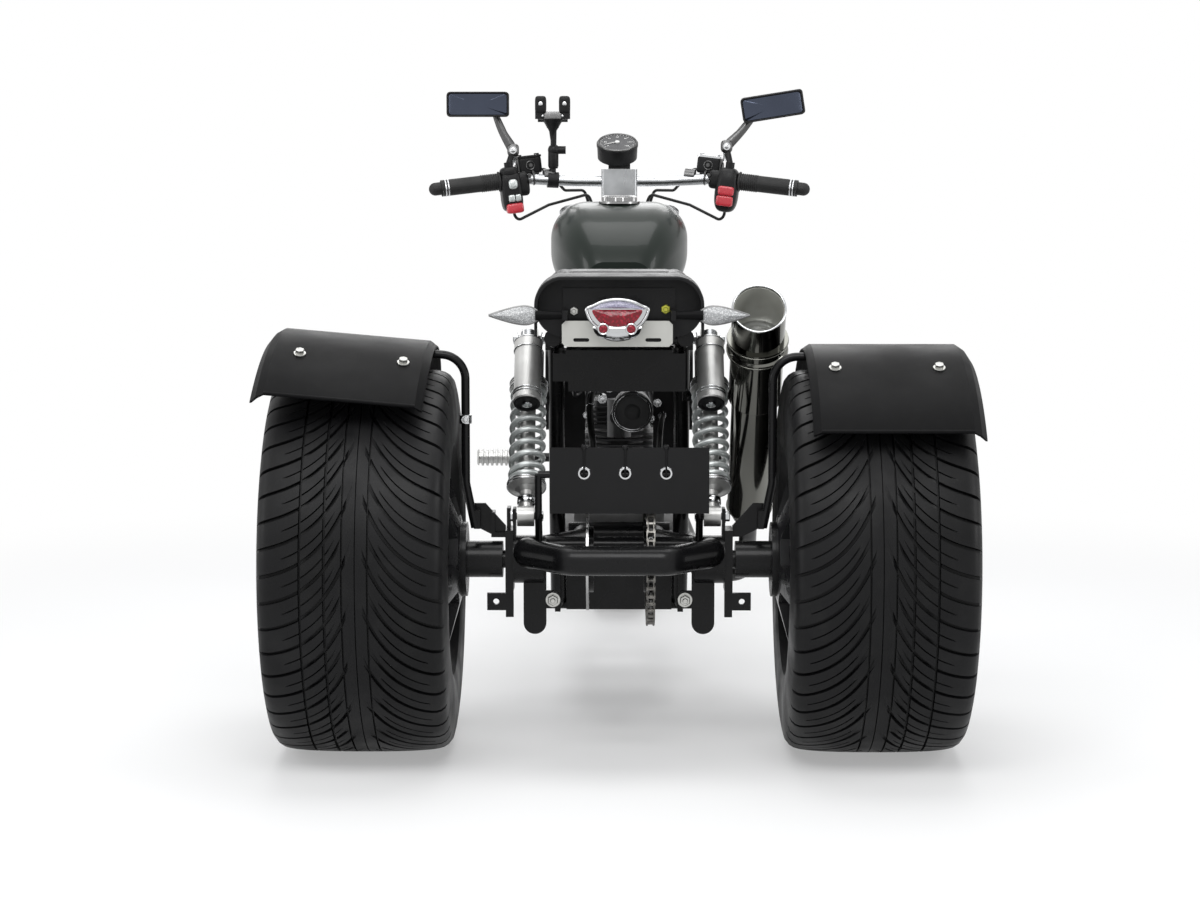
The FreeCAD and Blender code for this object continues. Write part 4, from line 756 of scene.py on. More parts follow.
def wound(foot, start, end, radius, wire, turns):
    """A helix: round by cos and sin of the angle, up by the running sum of its pitch.

    The pitch falls to 0.42 of its middle value at both ends, where the turns close up.
    """
    share = np.linspace(0, 1, 1100)
    angle = 2 * math.pi * turns * share
    pitch = 0.42 + 0.58 * ease(share, 0.04, 0.15) * (1 - ease(share, 0.84, 0.95))
    climb = np.cumsum(pitch) / pitch.sum()
    height = start + wire + (end - start - 2 * wire) * climb
    path = (foot + radius * np.cos(angle)[:, None] * ACROSS
            + radius * np.sin(angle)[:, None] * BACK_SHOCK + height[:, None] * UP_SHOCK)
    return tube(path, wire, 12, lean=UP_SHOCK)


shock_foot = {word: np.array([side * 0.155, REAR[1], corners(f"shock_{word}")[0][2] + 0.017])
              for word, side in SIDES}
for word, foot in shock_foot.items():
    made = make(f"wound_spring_{word}", [wound(foot, 0.0625, 0.2515, 0.0263, 0.0051, 8.6)],
                "silver_paint", "spring_steel", sharp=60, replaces=(f"spring_{word}",))
    print(made.name, "foot", foot.round(4), len(made.data.polygons), "faces")

# %% Collars, bottle bands, thread and end caps
for word, foot in shock_foot.items():
    bottle = foot + 0.057 * BACK_SHOCK
    bands = [ring(radius, thick, base + s * UP_SHOCK, UP_SHOCK, steps, sides)
             for base, radius, thick, steps, sides, heights in (
                 (bottle, 0.0240, 0.0011, 64, 10, (0.203, 0.2085, 0.294, 0.312)),
                 (bottle, 0.0124, 0.0011, 40, 8, np.arange(0.320, 0.334, 0.003)),
                 (foot, 0.0322, 0.0012, 64, 10, (0.0565, 0.0615, 0.2545, 0.2660)))
             for s in heights]
    bands += [lathe([(0.0135, 0.022), (0.0150, 0.024), (0.0150, 0.034), (0.0135, 0.036)], foot,
                    UP_SHOCK, 40),
              lathe([(0.0085, 0.0), (0.0085, 0.003), (0.006, 0.0042)], bottle + 0.1872 * UP_SHOCK,
                    -UP_SHOCK, 30)]
    for way in (-1, 1):
        for spot in (foot, foot + math.hypot(*EYE_STEP) * UP_SHOCK):
            bands += hex_bolt(spot + 0.0205 * way * ACROSS, way * ACROSS, 0.015)
    make(f"shock_bands_{word}", bands, "chrome", "polished_metal")
    cap = [(0.0222, 0.0), (0.0225, 0.0014), (0.0205, 0.0026), (0.0175, 0.0022), (0.0170, 0.0008),
           (0.0, 0.0006)]
    make(f"bottle_cap_{word}", [lathe(cap, bottle + 0.1879 * UP_SHOCK, -UP_SHOCK)],
         "moulded_black", "black_plastic")
print("shock trim on", len(shock_foot), "shocks")

# %% [markdown]
# Tail lamp and signals
# The lamp is a chrome eye: a rim round a clear upper band and a red lens, with two small round
# lamps below and a chrome chin. Each lens is a crowned sheet over its own outline, so its
# highlight slides over it as on a real moulding. The signals are clear leaves on short stalks.

# %% Outlines of the tail lamp
RIGHT_WAY = np.array([-1.0, 0.0, 0.0])
lamp_low, lamp_high = corners("tail_light")
LAMP = np.array([middle("tail_light")[0], lamp_high[1], lamp_low[2] + 0.044])


def eye_shape(count, *stops):
    """A smooth outline from its right half in millimetres, closed by the mirrored stops."""
    stops = np.asarray(stops, float) / 1000
    return closed_curve(np.vstack([stops, stops[::-1][1:-1] * [-1, 1]]), count)


EYE = eye_shape(120, (0, 24.5), (22, 21.5), (40, 14), (50, 8), (44, -8), (31, -21), (14, -29),
                (0, -31))
RED = eye_shape(96, (0, 8), (22, 8), (40, 7), (34, -6), (24, -16), (11, -26), (0, -28))
BAND = eye_shape(96, (0, 22), (20, 19), (36, 13), (44, 8.6), (24, 10.2), (0, 10))
CHIN = eye_shape(96, (0, -12), (22, -12), (38, -18), (36, -30), (24, -39), (0, -43.6))


def lamp_spot(depth):
    """A place on the lamp's own axis, depth metres behind its solid's rear face."""
    return LAMP + [0, depth, 0]


print("lamp at", LAMP.round(4))

# %% Tail lamp pieces
lamp_eyes = [lamp_spot(0.0) + way * 0.0225 * RIGHT_WAY - 0.0225 * UP for way in (-1, 1)]
make("lamp_chrome",
     [plate(EYE * 0.97, -0.037, -0.006, LAMP, RIGHT_WAY, UP, 0.002),
      tube(lamp_spot(-0.004) + EYE[:, :1] * RIGHT_WAY + EYE[:, 1:] * UP, 0.0024, 10, BACK, True),
      dome(CHIN, 0.014, lamp_spot(-0.012), RIGHT_WAY, UP, sink=0.012, power=2.6)]
     + [ring(0.0082, 0.0015, spot + [0, 0.0015, 0], BACK) for spot in lamp_eyes],
     "chrome", "lamp_lens", replaces=("tail_light",))
make("lamp_red_lens",
     [dome(RED, 0.006, lamp_spot(-0.004), RIGHT_WAY, UP, sink=0.004)]
     + [lathe([(0.0076, -0.004), (0.0076, 0.0015), (0.006, 0.003), (0.003, 0.004)], spot, BACK, 36)
        for spot in lamp_eyes], "lens_red", "lamp_lens", sharp=30)
make("lamp_pale_lens", [dome(BAND, 0.004, lamp_spot(-0.004), RIGHT_WAY, UP, sink=0.004)],
     "lens_pale", "lamp_lens", sharp=30)
print("tail lamp done")

# %% Leaf signals on stalks, and the two bolts of the plate
signal = middle("rear_signals") * [0, 1, 1]
LEAF = closed_curve(np.array([(131, 0), (134, 8), (148, 14), (166, 13), (188, 7.5), (209, 0.6),
                              (209, -0.6), (188, -7.5), (166, -13), (148, -14), (134, -8)]) / 1000,
                    90)
leaves, rims, stalks = [], [], []
for side in (-1, 1):
    outline = LEAF if side < 0 else LEAF * [1, -1]
    leaves += [dome(outline, 0.0082, signal + [0, way * 0.0015, 0], np.array([side, 0, 0]),
                    UP * -side * way, 7) for way in (-1, 1)]
    rims.append(tube(signal + outline[:, :1] * [side, 0, 0] + outline[:, 1:] * UP, 0.0021, 8, BACK,
                     True))
    path = np.linspace(signal + [side * 0.0925, 0, 0], signal + [side * 0.136, 0, 0], 9)
    stalks.append(tube(path, np.linspace(0.0062, 0.0085, 9), 20))
make("signal_lenses", leaves, "lens_mesh", "lamp_lens", sharp=30, replaces=("rear_signals",))
make("signal_rims", rims, "cast_alloy", "polished_metal")
make("signal_stalks", stalks, "satin_black", "black_plastic")
for word, finish_name, x, z, flats in (("silver", "hex_zinc", 0.074, 0.735, 0.013),
                                       ("yellow", "yellow_zinc", -0.076, 0.738, 0.014)):
    make(f"plate_bolt_{word}", hex_bolt((x, REAR[1] + 0.0305, z), BACK, flats, 0.005, False),
         finish_name, "polished_metal", sharp=35)
print("signals at", signal.round(4))

# %% [markdown]
# Rolled edge of the cowl
# Sheet or moulded tails end in a rolled lip, which takes a soft line of light. It is a tube that
# follows the mouth of the cowl, up one side, over the arch and down the other.

# %% Cowl lip
cowl_low, cowl_high = corners("tail_cover")
half, top, corner = cowl_high[0] - 0.0022, cowl_high[2] - 0.0062, 0.044
arch = [(half, z) for z in np.linspace(cowl_low[2] + 0.003, top - corner, 8)[:-1]]
arch += [(half - corner + corner * math.cos(turn), top - corner + corner * math.sin(turn))
         for turn in np.linspace(0, math.pi / 2, 14)]
arch = np.vstack([arch, np.array(arch)[::-1] * [-1, 1]])
lip = np.stack([arch[:, 0], np.full(len(arch), cowl_high[1] - 0.002), arch[:, 1]], 1)
make("cowl_lip", [tube(lip, 0.0026, 12, BACK)], "moulded_black", "fender_satin", sharp=50)
print("cowl lip", len(arch), "stops")

# %% [markdown]
# Seat
# A motorcycle seat is foam under stretched vinyl: the cover bulges between its sewn seams and is
# pulled down to the base. The shape starts from the solid, a little smaller, is filled with air
# pressure by a short cloth run, and then gets its seams: narrow valleys along the sewn lines.

# %% Blow up the seat cover
SHRINK, MOST_MOVE = 0.004, 0.009
PRESSURE, FRAMES = 4, 20


def rows_of(things, name):
    """One triple of numbers from each of a mesh's vertices or normals, as an array of rows."""
    flat = np.empty(len(things) * 3)
    things.foreach_get(name, flat)
    return flat.reshape(-1, 3)


def settle(piece):
    """Replaces a piece's mesh by the result of its modifiers and removes them."""
    bpy.context.view_layer.update()
    ready = piece.evaluated_get(bpy.context.evaluated_depsgraph_get())
    baked = bpy.data.meshes.new_from_object(ready)
    piece.modifiers.clear()
    piece.data = baked


def seat_start():
    """A closed copy of the seat in even faces, every point moved in against its normal."""
    copy = nodes["seat"].data.copy()
    clean(copy, 1e-5)
    piece = bpy.data.objects.new("padded_seat", copy)
    scene.collection.objects.link(piece)
    remesh = piece.modifiers.new("even", "REMESH")
    remesh.mode, remesh.voxel_size = "VOXEL", 0.0055
    settle(piece)
    mesh = piece.data
    spots = rows_of(mesh.vertices, "co") - SHRINK * rows_of(mesh.vertex_normals, "vector")
    mesh.vertices.foreach_set("co", spots.ravel())
    mesh.update()
    return piece


seat = seat_start()
before = rows_of(seat.data.vertices, "co")
puff = seat.modifiers.new("puff", "CLOTH")
puff.settings.use_pressure = True
puff.settings.uniform_pressure_force = PRESSURE
puff.settings.effector_weights.gravity = 0
puff.settings.quality = 5
for number in range(1, FRAMES + 1):
    scene.frame_set(number)
settle(seat)
scene.frame_set(1)
move = rows_of(seat.data.vertices, "co") - before
far = np.linalg.norm(move, axis=1, keepdims=True)
after = before + move * np.minimum(1, MOST_MOVE / np.maximum(far, 1e-9))
seat.data.vertices.foreach_set("co", after.ravel())
smooth = seat.modifiers.new("finer", "SUBSURF")
smooth.levels = smooth.render_levels = 1
settle(seat)
print("seat cover", len(seat.data.polygons), "faces")

# %% Seams across and along the cover
seat_low, seat_high = corners("seat")
STEP_Y = REAR[1] - 0.300
spots = rows_of(seat.data.vertices, "co")
normals = rows_of(seat.data.vertex_normals, "vector")


def seam(coordinate, line, wide):
    """How deep in a seam each point is: e^(-(distance / wide)^2), 1 on the line."""
    return np.exp(-((coordinate - line) / wide) ** 2)


upward = np.clip((normals[:, 2] - 0.25) / 0.5, 0, 1)
valley = np.zeros(len(spots))
for line, depth, wide in ((STEP_Y, 0.0055, 0.006), (STEP_Y + 0.105, 0.0035, 0.005),
                          (STEP_Y + 0.175, 0.0035, 0.005), (STEP_Y - 0.085, 0.003, 0.005),
                          (STEP_Y - 0.165, 0.003, 0.005)):
    valley += depth * seam(spots[:, 1], line, wide) * upward
inside = (spots[:, 1] > STEP_Y - 0.19) & (spots[:, 1] < STEP_Y + 0.24)
valley += 0.0032 * seam(np.abs(spots[:, 0]), 0.086, 0.004) * upward * inside
sideways = np.clip(1 - np.abs(normals[:, 2]), 0, 1)
valley += 0.0028 * seam(spots[:, 2], seat_low[2] + 0.022, 0.004) * sideways
spots = np.clip(spots - valley[:, None] * normals, seat_low, seat_high)
seat.data.vertices.foreach_set("co", spots.ravel())
seat.data.update()
seat.data.shade_smooth()
seat.data.materials.clear()
seat.data.materials.append(FINISH["seat_vinyl"])
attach(seat, "chassis")
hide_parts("seat")
print("seat between", spots.min(0).round(4), "and", spots.max(0).round(4))

# %% [markdown]
# Bars and controls
# Everything on the bars sits square to the grip, not to the ground, so its shapes are written on
# the grip's own axes: out along the grip, back and up, and turned once. The left side is the
# right side mirrored across the middle of the vehicle.

# %% The grip's own axes
GRIP_WAY = np.array([-0.162, 0.032, -0.019])
GRIP_WAY /= np.linalg.norm(GRIP_WAY)
bar_low, bar_high = corners("handlebar")
BAR_END = np.array([-0.353, bar_high[1] - 0.0108, bar_low[2] + 0.0108])
POD = BAR_END - 0.118 * GRIP_WAY


def least_turn(start, end):
    """Rodrigues' rotation from one way to another, its rows the turned axes.

    With K the cross product's matrix it is I + K + K K / (1 + cos), turned over.
    """
    x, y, z = np.cross(start, end)
    twist = np.array([[0, -z, y], [z, 0, -x], [-y, x, 0]])
    return (np.eye(3) + twist + twist @ twist / (1 + np.dot(start, end))).T


BAR_AXES = least_turn(np.array([1.0, 0, 0]), -GRIP_WAY)


def bar_piece(name, side, surfaces, finish_name, slot, **more):
    """A piece made on the grip's axes and turned to the vehicle's; on the left X changes sign."""
    placed = [((points @ BAR_AXES + POD) * [-1 if side > 0 else 1, 1, 1], quads, fans)
              for points, quads, fans in surfaces]
    make(name, placed, finish_name, slot, "steering", **more)


def knob(low, high, power=0.35):
    """A small moulded button: a box grown round between two corners."""
    return pebble(low, high, power, 12, 24)


print("pod corner", POD.round(4), "bar end", BAR_END.round(4))

# %% Switch pods with their buttons
bar_piece("pod_right", -1, [
    pebble((-0.004, -0.0245, -0.064), (0.043, 0.0240, 0.026), 0.62, 30, 48),
    pebble((0.030, -0.018, -0.020), (0.058, 0.018, 0.018))],
    "moulded_black", "black_plastic", sharp=45, replaces=("switch_pods",))
bar_piece("pod_left", 1, [
    pebble((-0.003, -0.0235, -0.062), (0.039, 0.0225, 0.016), 0.42, 30, 48),
    pebble((-0.001, -0.016, 0.004), (0.036, 0.020, 0.028), 0.7, 18, 36),
    pebble((0.032, -0.018, -0.034), (0.056, 0.016, 0.014))],
    "moulded_black", "black_plastic", sharp=45, replaces=("switch_pods",))
bar_piece("run_rocker", -1, [
    knob((0.002, 0.012, -0.052), (0.036, 0.0275, -0.031)),
    knob((0.002, 0.012, -0.0305), (0.034, 0.0285, -0.012))], "button_red", "black_plastic")
bar_piece("horn_button", 1, [knob((0.002, 0.004, -0.0665), (0.037, 0.0270, -0.046), 0.4)],
          "button_red", "black_plastic")
bar_piece("grey_buttons", 1, [
    knob((0.008, 0.012, -0.043), (0.021, 0.0285, -0.029)),
    knob((0.022, 0.012, -0.043), (0.033, 0.0285, -0.029)),
    knob((0.011, 0.012, -0.018), (0.030, 0.0275, 0.002), 0.7)], "silver_paint", "polished_metal")
print("pods and buttons done")


# %% Reservoirs, clamps, grip rings and bar ends
def grip_ring(x, radius, thick, steps=40):
    """A ring round the grip's axis."""
    return ring(radius, thick, (x, 0, 0), ACROSS, steps)


for word, side in SIDES:
    bar_piece(f"reservoir_{word}", side,
              [pebble((0.042, -0.058, 0.008), (0.090, -0.016, 0.042), 0.22, 20)],
              "moulded_black", "black_plastic")
    lid = [pebble((0.041, -0.059, 0.040), (0.091, -0.015, 0.0455), 0.22, 8, 40)]
    for x in (0.048, 0.084):
        for y in (-0.052, -0.022):
            lid += hex_bolt((x, y, 0.0452), UP, 0.005, washer=False)
    bar_piece(f"reservoir_lid_{word}", side, lid, "bright_alloy" if side < 0 else "moulded_black",
              "polished_metal")
    bar_piece(f"reservoir_window_{word}", side,
              [ring(0.0085, 0.0012, (0.066, -0.0162, 0.025), BACK)]
              + hex_bolt((0.066, -0.0165, 0.025), BACK, 0.008, washer=False),
              "dark_steel", "polished_metal")
    clamps = [grip_ring(x, 0.0135, 0.0022) for x in (0.048, 0.066)]
    clamps += [lathe([(0.0128, -0.0105), (0.0142, -0.010), (0.0142, 0.010), (0.0128, 0.0105)],
                     (0.098, 0, 0), ACROSS)]
    for z in (0.006, -0.006):
        clamps += hex_bolt((0.057, 0.016, z), BACK, 0.007, washer=False)
    bar_piece(f"bar_clamps_{word}", side, clamps, "dark_steel", "polished_metal")
    bar_piece(f"grip_ribs_{word}", side,
              [grip_ring(-x, 0.0166, 0.0011) for x in np.arange(0.006, 0.040, 0.0042)]
              + [grip_ring(-0.004, 0.0180, 0.0024, 48)], "grip_rubber", "grip_rubber", sharp=50)
    bar_piece(f"bar_end_rings_{word}", side,
              [grip_ring(-x, 0.0158, 0.0016, 48) for x in (0.108, 0.1135)]
              + [lathe([(0.0160, -0.1175), (0.0165, -0.1195), (0.0150, -0.1215)], (0, 0, 0),
                       ACROSS, 40), grip_ring(-0.1275, 0.0080, 0.0018)],
              "bright_alloy", "polished_metal", sharp=50)
print("bar fittings on", len(SIDES), "sides")

# %% [markdown]
# Mirrors
# A bar mirror is a thin glass in a shallow dish on a flat arm that tapers up to it. The glass's
# near black with a cold tint is painted reflection of the studio's dark side, set in its colour.
# The arms are an oval profile carried from the knuckle, wide at its foot and thin where it meets
# the dish.

# %% Mirror glass and tapered arms
GLASS_WIDE, GLASS_TALL = 0.125, 0.050
for word, side, roll, knee_x, knee_z, full_height in (("left", 1, 0.0, 0.214, 1.000, 1.116),
                                                      ("right", -1, 9.0, 0.216, 1.008, 1.122)):
    low, high = corners(f"mirror_{word}")
    turn = -math.radians(roll) * side
    cos, sin = math.cos(turn), math.sin(turn)
    across, up = np.array([cos, 0, -sin]), np.array([sin, 0, cos])
    tall = GLASS_TALL * cos + GLASS_WIDE * abs(sin)
    wide = GLASS_WIDE * cos + GLASS_TALL * abs(sin)
    edge_x = high[0] if side > 0 else low[0]
    heart = np.array([edge_x - side * wide / 2, high[1], high[2] - tall / 2])
    glass = plate(rounded_box(0.116, 0.0415, 0.0055), -0.0012, 0.0009, heart, -across, up, 0.0004)
    make(f"mirror_glass_{word}", [glass], "mirror_painted_reflection", "mirror_shell", "steering", 50)
    rim = rounded_box(0.1215, 0.0465, 0.0065)
    path = heart - rim[:, :1] * across + rim[:, 1:] * up + [0, -0.0006, 0]
    make(f"mirror_rim_{word}", [tube(path, 0.0019, 8, BACK, True)], "moulded_black",
         "black_plastic", "steering", 50)
    knee = np.array([side * knee_x, heart[1] - 0.021, knee_z + (high[2] - full_height)])
    pin = np.array([heart[0] - side * 0.030, heart[1] - 0.023, heart[2] - 0.012])
    arm = smooth_path([knee, knee + (pin - knee) * 0.5 + [side * 0.003, 0, 0], pin], 24)
    share = np.linspace(0, 1, 24)
    knuckle = np.array([0.012, 0.010, 0.013])
    make(f"mirror_arm_{word}", [tube(arm, 0.0108 - 0.0060 * share, 20, BACK, squeeze=0.62),
                                pebble(knee - knuckle, knee + knuckle, 0.6, 16, 28)],
         "dark_steel", "black_plastic", "steering", 50)
    make(f"mirror_bolt_{word}", hex_bolt(knee + [0, 0.0098, 0], BACK, 0.010)
         + [lathe([(0.0068, -0.030), (0.0068, -0.014), (0.0085, -0.0125)], knee, UP, 32)],
         "bright_alloy", "polished_metal", "steering", 50)
    print("mirror", word, heart.round(4), "knee", knee.round(4))

# %% [markdown]
# Gauge
# The dial is a grey disc under a bezel, with a tick for every step, plain numbers and a pale
# needle. Numbers are text turned into mesh before it is placed, as solid as the ticks.

# %% Dial, ticks, numbers and needle
TIP = math.radians(26)
DIAL_WAY = np.array([0, math.sin(TIP), math.cos(TIP)])
DIAL_UP = np.array([0, -math.cos(TIP), math.sin(TIP)])
GAUGE_R, GAUGE_DEEP = 0.042, 0.011
gauge_high = corners("gauge")[1]
dial = np.array([middle("gauge")[0],
                 gauge_high[1] - GAUGE_R * math.cos(TIP) - GAUGE_DEEP * math.sin(TIP),
                 gauge_high[2] - GAUGE_R * math.sin(TIP) - GAUGE_DEEP * math.cos(TIP)])
dial += 0.0124 * DIAL_WAY


def on_dial(angle, radius, lift):
    """A place over the dial: the angle runs clockwise from the top as the rider sees it."""
    way = math.sin(angle) * RIGHT_WAY + math.cos(angle) * DIAL_UP
    return dial + radius * way + lift * DIAL_WAY


def digits(word, tall, spot):
    """Text as a mesh, X along the dial's side and Y along the dial's up, centred on a spot."""
    curve = bpy.data.curves.new("digits", "FONT")
    curve.body, curve.size, curve.extrude = word, tall, 0.0002
    curve.align_x, curve.align_y = "CENTER", "CENTER"
    holder = bpy.data.objects.new("digits", curve)
    scene.collection.objects.link(holder)
    bpy.context.view_layer.update()
    ready = holder.evaluated_get(bpy.context.evaluated_depsgraph_get())
    mesh = bpy.data.meshes.new_from_object(ready)
    bpy.data.objects.remove(holder)
    mesh.calc_loop_triangles()
    faces = np.array([list(triangle.vertices) for triangle in mesh.loop_triangles])
    points = rows_of(mesh.vertices, "co") @ np.stack([RIGHT_WAY, DIAL_UP, DIAL_WAY]) + spot
    return points, np.zeros((0, 4), int), faces


make("gauge_face", [lathe([(0.0372, -0.0006), (0.0372, 0.0004), (0.001, 0.0005)], dial, DIAL_WAY,
                          64)], "dial_grey", "black_plastic", "steering", 50)
make("gauge_bezel", [ring(0.0385, 0.0026, dial, DIAL_WAY, 72, 10)], "dark_steel",
     "polished_metal", "steering", 50)
SWEEP = math.radians(130)
marks = [tube([on_dial(angle, 0.0325 if number % 4 else 0.0295, 0.0007),
               on_dial(angle, 0.0352, 0.0007)], 0.0004, 6, lean=DIAL_WAY)
         for number, angle in enumerate(np.linspace(-SWEEP, SWEEP, 25))]
marks += [digits(str(20 * number), 0.0062, on_dial(angle, 0.0245, 0.0007))
          for number, angle in enumerate(np.linspace(-SWEEP, SWEEP, 7))]
make("dial_marks", marks, "tag_white", "black_plastic", "steering", 30)
make("dial_needle", [
    tube([dial + 0.002 * DIAL_WAY, on_dial(-2.0, 0.029, 0.002)], [0.0012, 0.0004], 8, DIAL_WAY),
    lathe([(0.0045, 0.0), (0.0045, 0.003), (0.002, 0.004)], dial, DIAL_WAY, 30)],
    "tag_white", "black_plastic", "steering", 30)
print("dial at", dial.round(4))

# %% [markdown]
# Phone holder
# Two padded jaws stand on an alloy bridge. Below it a cone carries the weight onto the post, and
# a sleeve holds the post at its height.

# %% Jaws, bridge, cone and sleeve
holder_high = corners("phone_holder")[1]
bridge = np.array([middle("phone_holder")[0], holder_high[1] - 0.015, holder_high[2] - 0.034])
JAW_X = 0.024
jaws = [pebble((way * JAW_X - 0.0115, -0.002, 0.004), (way * JAW_X + 0.0115, 0.0165, 0.040), 0.42,
               18, 28, spot=bridge) for way in (-1, 1)]
jaws += [lathe([(0.0042, -0.052), (0.0075, -0.030), (0.0170, -0.014), (0.0230, -0.006)], bridge,
               UP, 36),
         lathe([(0.0085, -0.105), (0.0105, -0.100), (0.0105, -0.066), (0.0085, -0.060)],
               bridge + [-0.001, 0, 0], UP, 36)]
make("holder_jaws", jaws, "moulded_black", "black_plastic", "steering", 45)
make("holder_bridge", [pebble((-0.0325, -0.0105, -0.009), (0.0325, 0.0125, 0.009), 0.4, 16, 36,
                              spot=bridge)], "cast_alloy", "cast_metal", "steering", 45)
screws = [lathe([(0.0030, 0.0), (0.0030, 0.0015), (0.0015, 0.0022)], bridge + [x, 0.0122, 0.0],
                BACK, 24) for x in (-0.020, 0.020)]
screws += [lathe([(0.0042, 0.0), (0.0042, 0.0022), (0.002, 0.003)],
                 bridge + [way * JAW_X, 0.016, 0.024], BACK, 24) for way in (-1, 1)]
make("holder_screws", screws, "bright_alloy", "polished_metal", "steering")
print("phone holder at", bridge.round(4))

# %% [markdown]
# Fenders and stays
# The fenders are pressed sheet held by two bolts each. A folded hem stiffens the rear edge, and a
# bright clamp sits on the left stay. The bolts are set square to the curved sheet, so each is
# worked out from the angle round the axle.

# %% Fender bolts, hems and the stay clamp
CREST = TYRE_R + math.sqrt(0.3365 ** 2 - 0.020 ** 2)
FENDER_LEAN = math.radians(5)
STAY_X = 0.253


def fender_spot(x, radius, degrees, side):
    """A place and outward way round the rear axle; the left fender then leans about its stay."""
    angle = math.radians(degrees)
    way = np.array([0.0, math.cos(angle), math.sin(angle)])
    spot = np.array([side * x, REAR[1], REAR[2]]) + radius * way
    if side > 0:
        cos, sin = math.cos(FENDER_LEAN), math.sin(FENDER_LEAN)
        spin = np.array([[cos, 0, -sin], [0, 1, 0], [sin, 0, cos]])
        pin = np.array([STAY_X, 0, CREST])
        spot, way = spin @ (spot - pin) + pin, spin @ way
    return spot, way


bolts, hems = [], []
for side, rear_edge in ((1, 49.35), (-1, 42.35)):
    for x in (0.345, 0.511):
        bolts += hex_bolt(*fender_spot(x, 0.3593, 67, side), 0.013)
    edge = [fender_spot(0.434 + x, 0.3572, rear_edge, side)[0]
            for x in np.linspace(-0.119, 0.119, 16)]
    hems.append(tube(edge, 0.0030, 10, BACK))
make("fender_bolts", bolts, "hex_zinc", "polished_metal")
make("fender_hems", hems, "satin_black", "fender_satin", sharp=50)
clamp = [lathe([(0.0078, -0.008), (0.0102, -0.007), (0.0102, 0.007), (0.0078, 0.008)],
               (STAY_X, REAR[1] + 0.020, 0.556), UP, 36)]
make("stay_clamp", clamp + hex_bolt((STAY_X, REAR[1] + 0.031, 0.556), BACK, 0.008),
     "bright_alloy", "polished_metal")
print("crest", round(CREST, 4), "bolts", len(bolts))

# %% [markdown]
# Silencer mouth
# The mouth is cut on a slant, so its rim is an ellipse: a circle whose height falls as it goes
# towards the rear. Inside, a plain sleeve leads down to a pressed baffle with a round hole.

# %% Slanted rim, sleeve and baffle
CAN_LEAN = math.radians(38.2)
CAN_UP = np.array([0.0, math.sin(CAN_LEAN), math.cos(CAN_LEAN)])
CAN_BACK = np.array([0.0, math.cos(CAN_LEAN), -math.sin(CAN_LEAN)])
CAN_FOOT = np.array([middle("muffler")[0], REAR[1] - 0.410, 0.338])
CAN_TALL = 0.501
SLANT = 26 / 92


def mouth(radius, drop=0.0):
    """The slanted circle: height = the can's - back x slant, less a drop."""
    side, back = radius * circle(72).T
    height = CAN_TALL - back * SLANT - drop
    return (CAN_FOOT + side[:, None] * ACROSS + back[:, None] * CAN_BACK
            + height[:, None] * CAN_UP)


def level_circle(radius, height):
    """A circle square to the can at a height."""
    side, back = circle(72).T
    return CAN_FOOT + radius * (side[:, None] * ACROSS + back[:, None] * CAN_BACK) + height * CAN_UP


make("muffler_rim", [tube(mouth(0.0446, 0.0008), 0.0019, 10, (0, 0.3, 1), True)], "chrome",
     "polished_metal", sharp=50)
sleeve = np.stack([level_circle(0.0424, 0.4362), mouth(0.0428, 0.003), mouth(0.0419, 0.003),
                   level_circle(0.0419, 0.4362)])
make("muffler_sleeve", [sheet_of(sleeve, "loop")], "sleeve_grey", "dark_metal", sharp=50)
baffle = [(0.0416, 0.4352), (0.0416, 0.4365), (0.0360, 0.4385), (0.0300, 0.4372), (0.0285, 0.4400),
          (0.0225, 0.4400), (0.0205, 0.4372), (0.0160, 0.4368), (0.0150, 0.4354)]
outlet = [(0.0148, 0.4352), (0.0148, 0.4371), (0.010, 0.4367)]
make("muffler_baffle", [lathe(baffle, CAN_FOOT, CAN_UP, 64)], "bright_alloy", "dark_metal")
# Painted shade: the outlet hole is closed by a near-black disc in place of the shade inside it.
make("muffler_outlet", [lathe(outlet, CAN_FOOT, CAN_UP, 40)], "outlet_hole_shade", "dark_metal")
make("muffler_beads", [ring(radius, thick, CAN_FOOT + s * CAN_UP, CAN_UP, 72)
                       for radius, thick, s in ((0.0521, 0.0011, 0.4085), (0.0521, 0.0011, 0.4315),
                                                (0.0405, 0.0016, 0.026), (0.0405, 0.0016, 0.292))],
     "smoked_chrome", "polished_metal", sharp=50)
hold = CAN_FOOT + 0.300 * CAN_UP + [0.040, 0, 0]
arm = [plate([(0.0, -0.009), (0.086, -0.013), (0.086, 0.013), (0.0, 0.009)], -0.002, 0.002, hold,
             ACROSS, CAN_UP, 0.0006)]
for x in (0.012, 0.072):
    arm += hex_bolt(hold + [x, 0, 0] + 0.002 * CAN_BACK, CAN_BACK, 0.010)
make("muffler_arm", arm, "chassis_black", "frame_paint")
print("muffler mouth at", (CAN_FOOT + CAN_TALL * CAN_UP).round(4))

# %% [markdown]
# Chain and sprocket
# A roller chain is pairs of plates joined by rollers, and it hangs on the two sprockets along one
# loop: an arc, a straight run, an arc, a straight run. The links are one small plate turned to the
# loop's slope at every pitch, all worked out as one array.

# %% The chain's loop
CHAIN_X = middle("chain")[0]
BIG, SMALL = 0.105, 0.034
PULL = np.array([0.1875, 0.296])
HUB = REAR[1:]
LINKS = 90
gap = HUB - PULL
slope = math.atan2(gap[1], gap[0])
tilt = math.asin((BIG - SMALL) / math.hypot(*gap))


def arc(hub, radius, start, end, steps):
    """Places on a circle about a hub from one angle to another."""
    angle = np.linspace(start, end, steps)
    return hub + radius * np.stack([np.cos(angle), np.sin(angle)], 1)


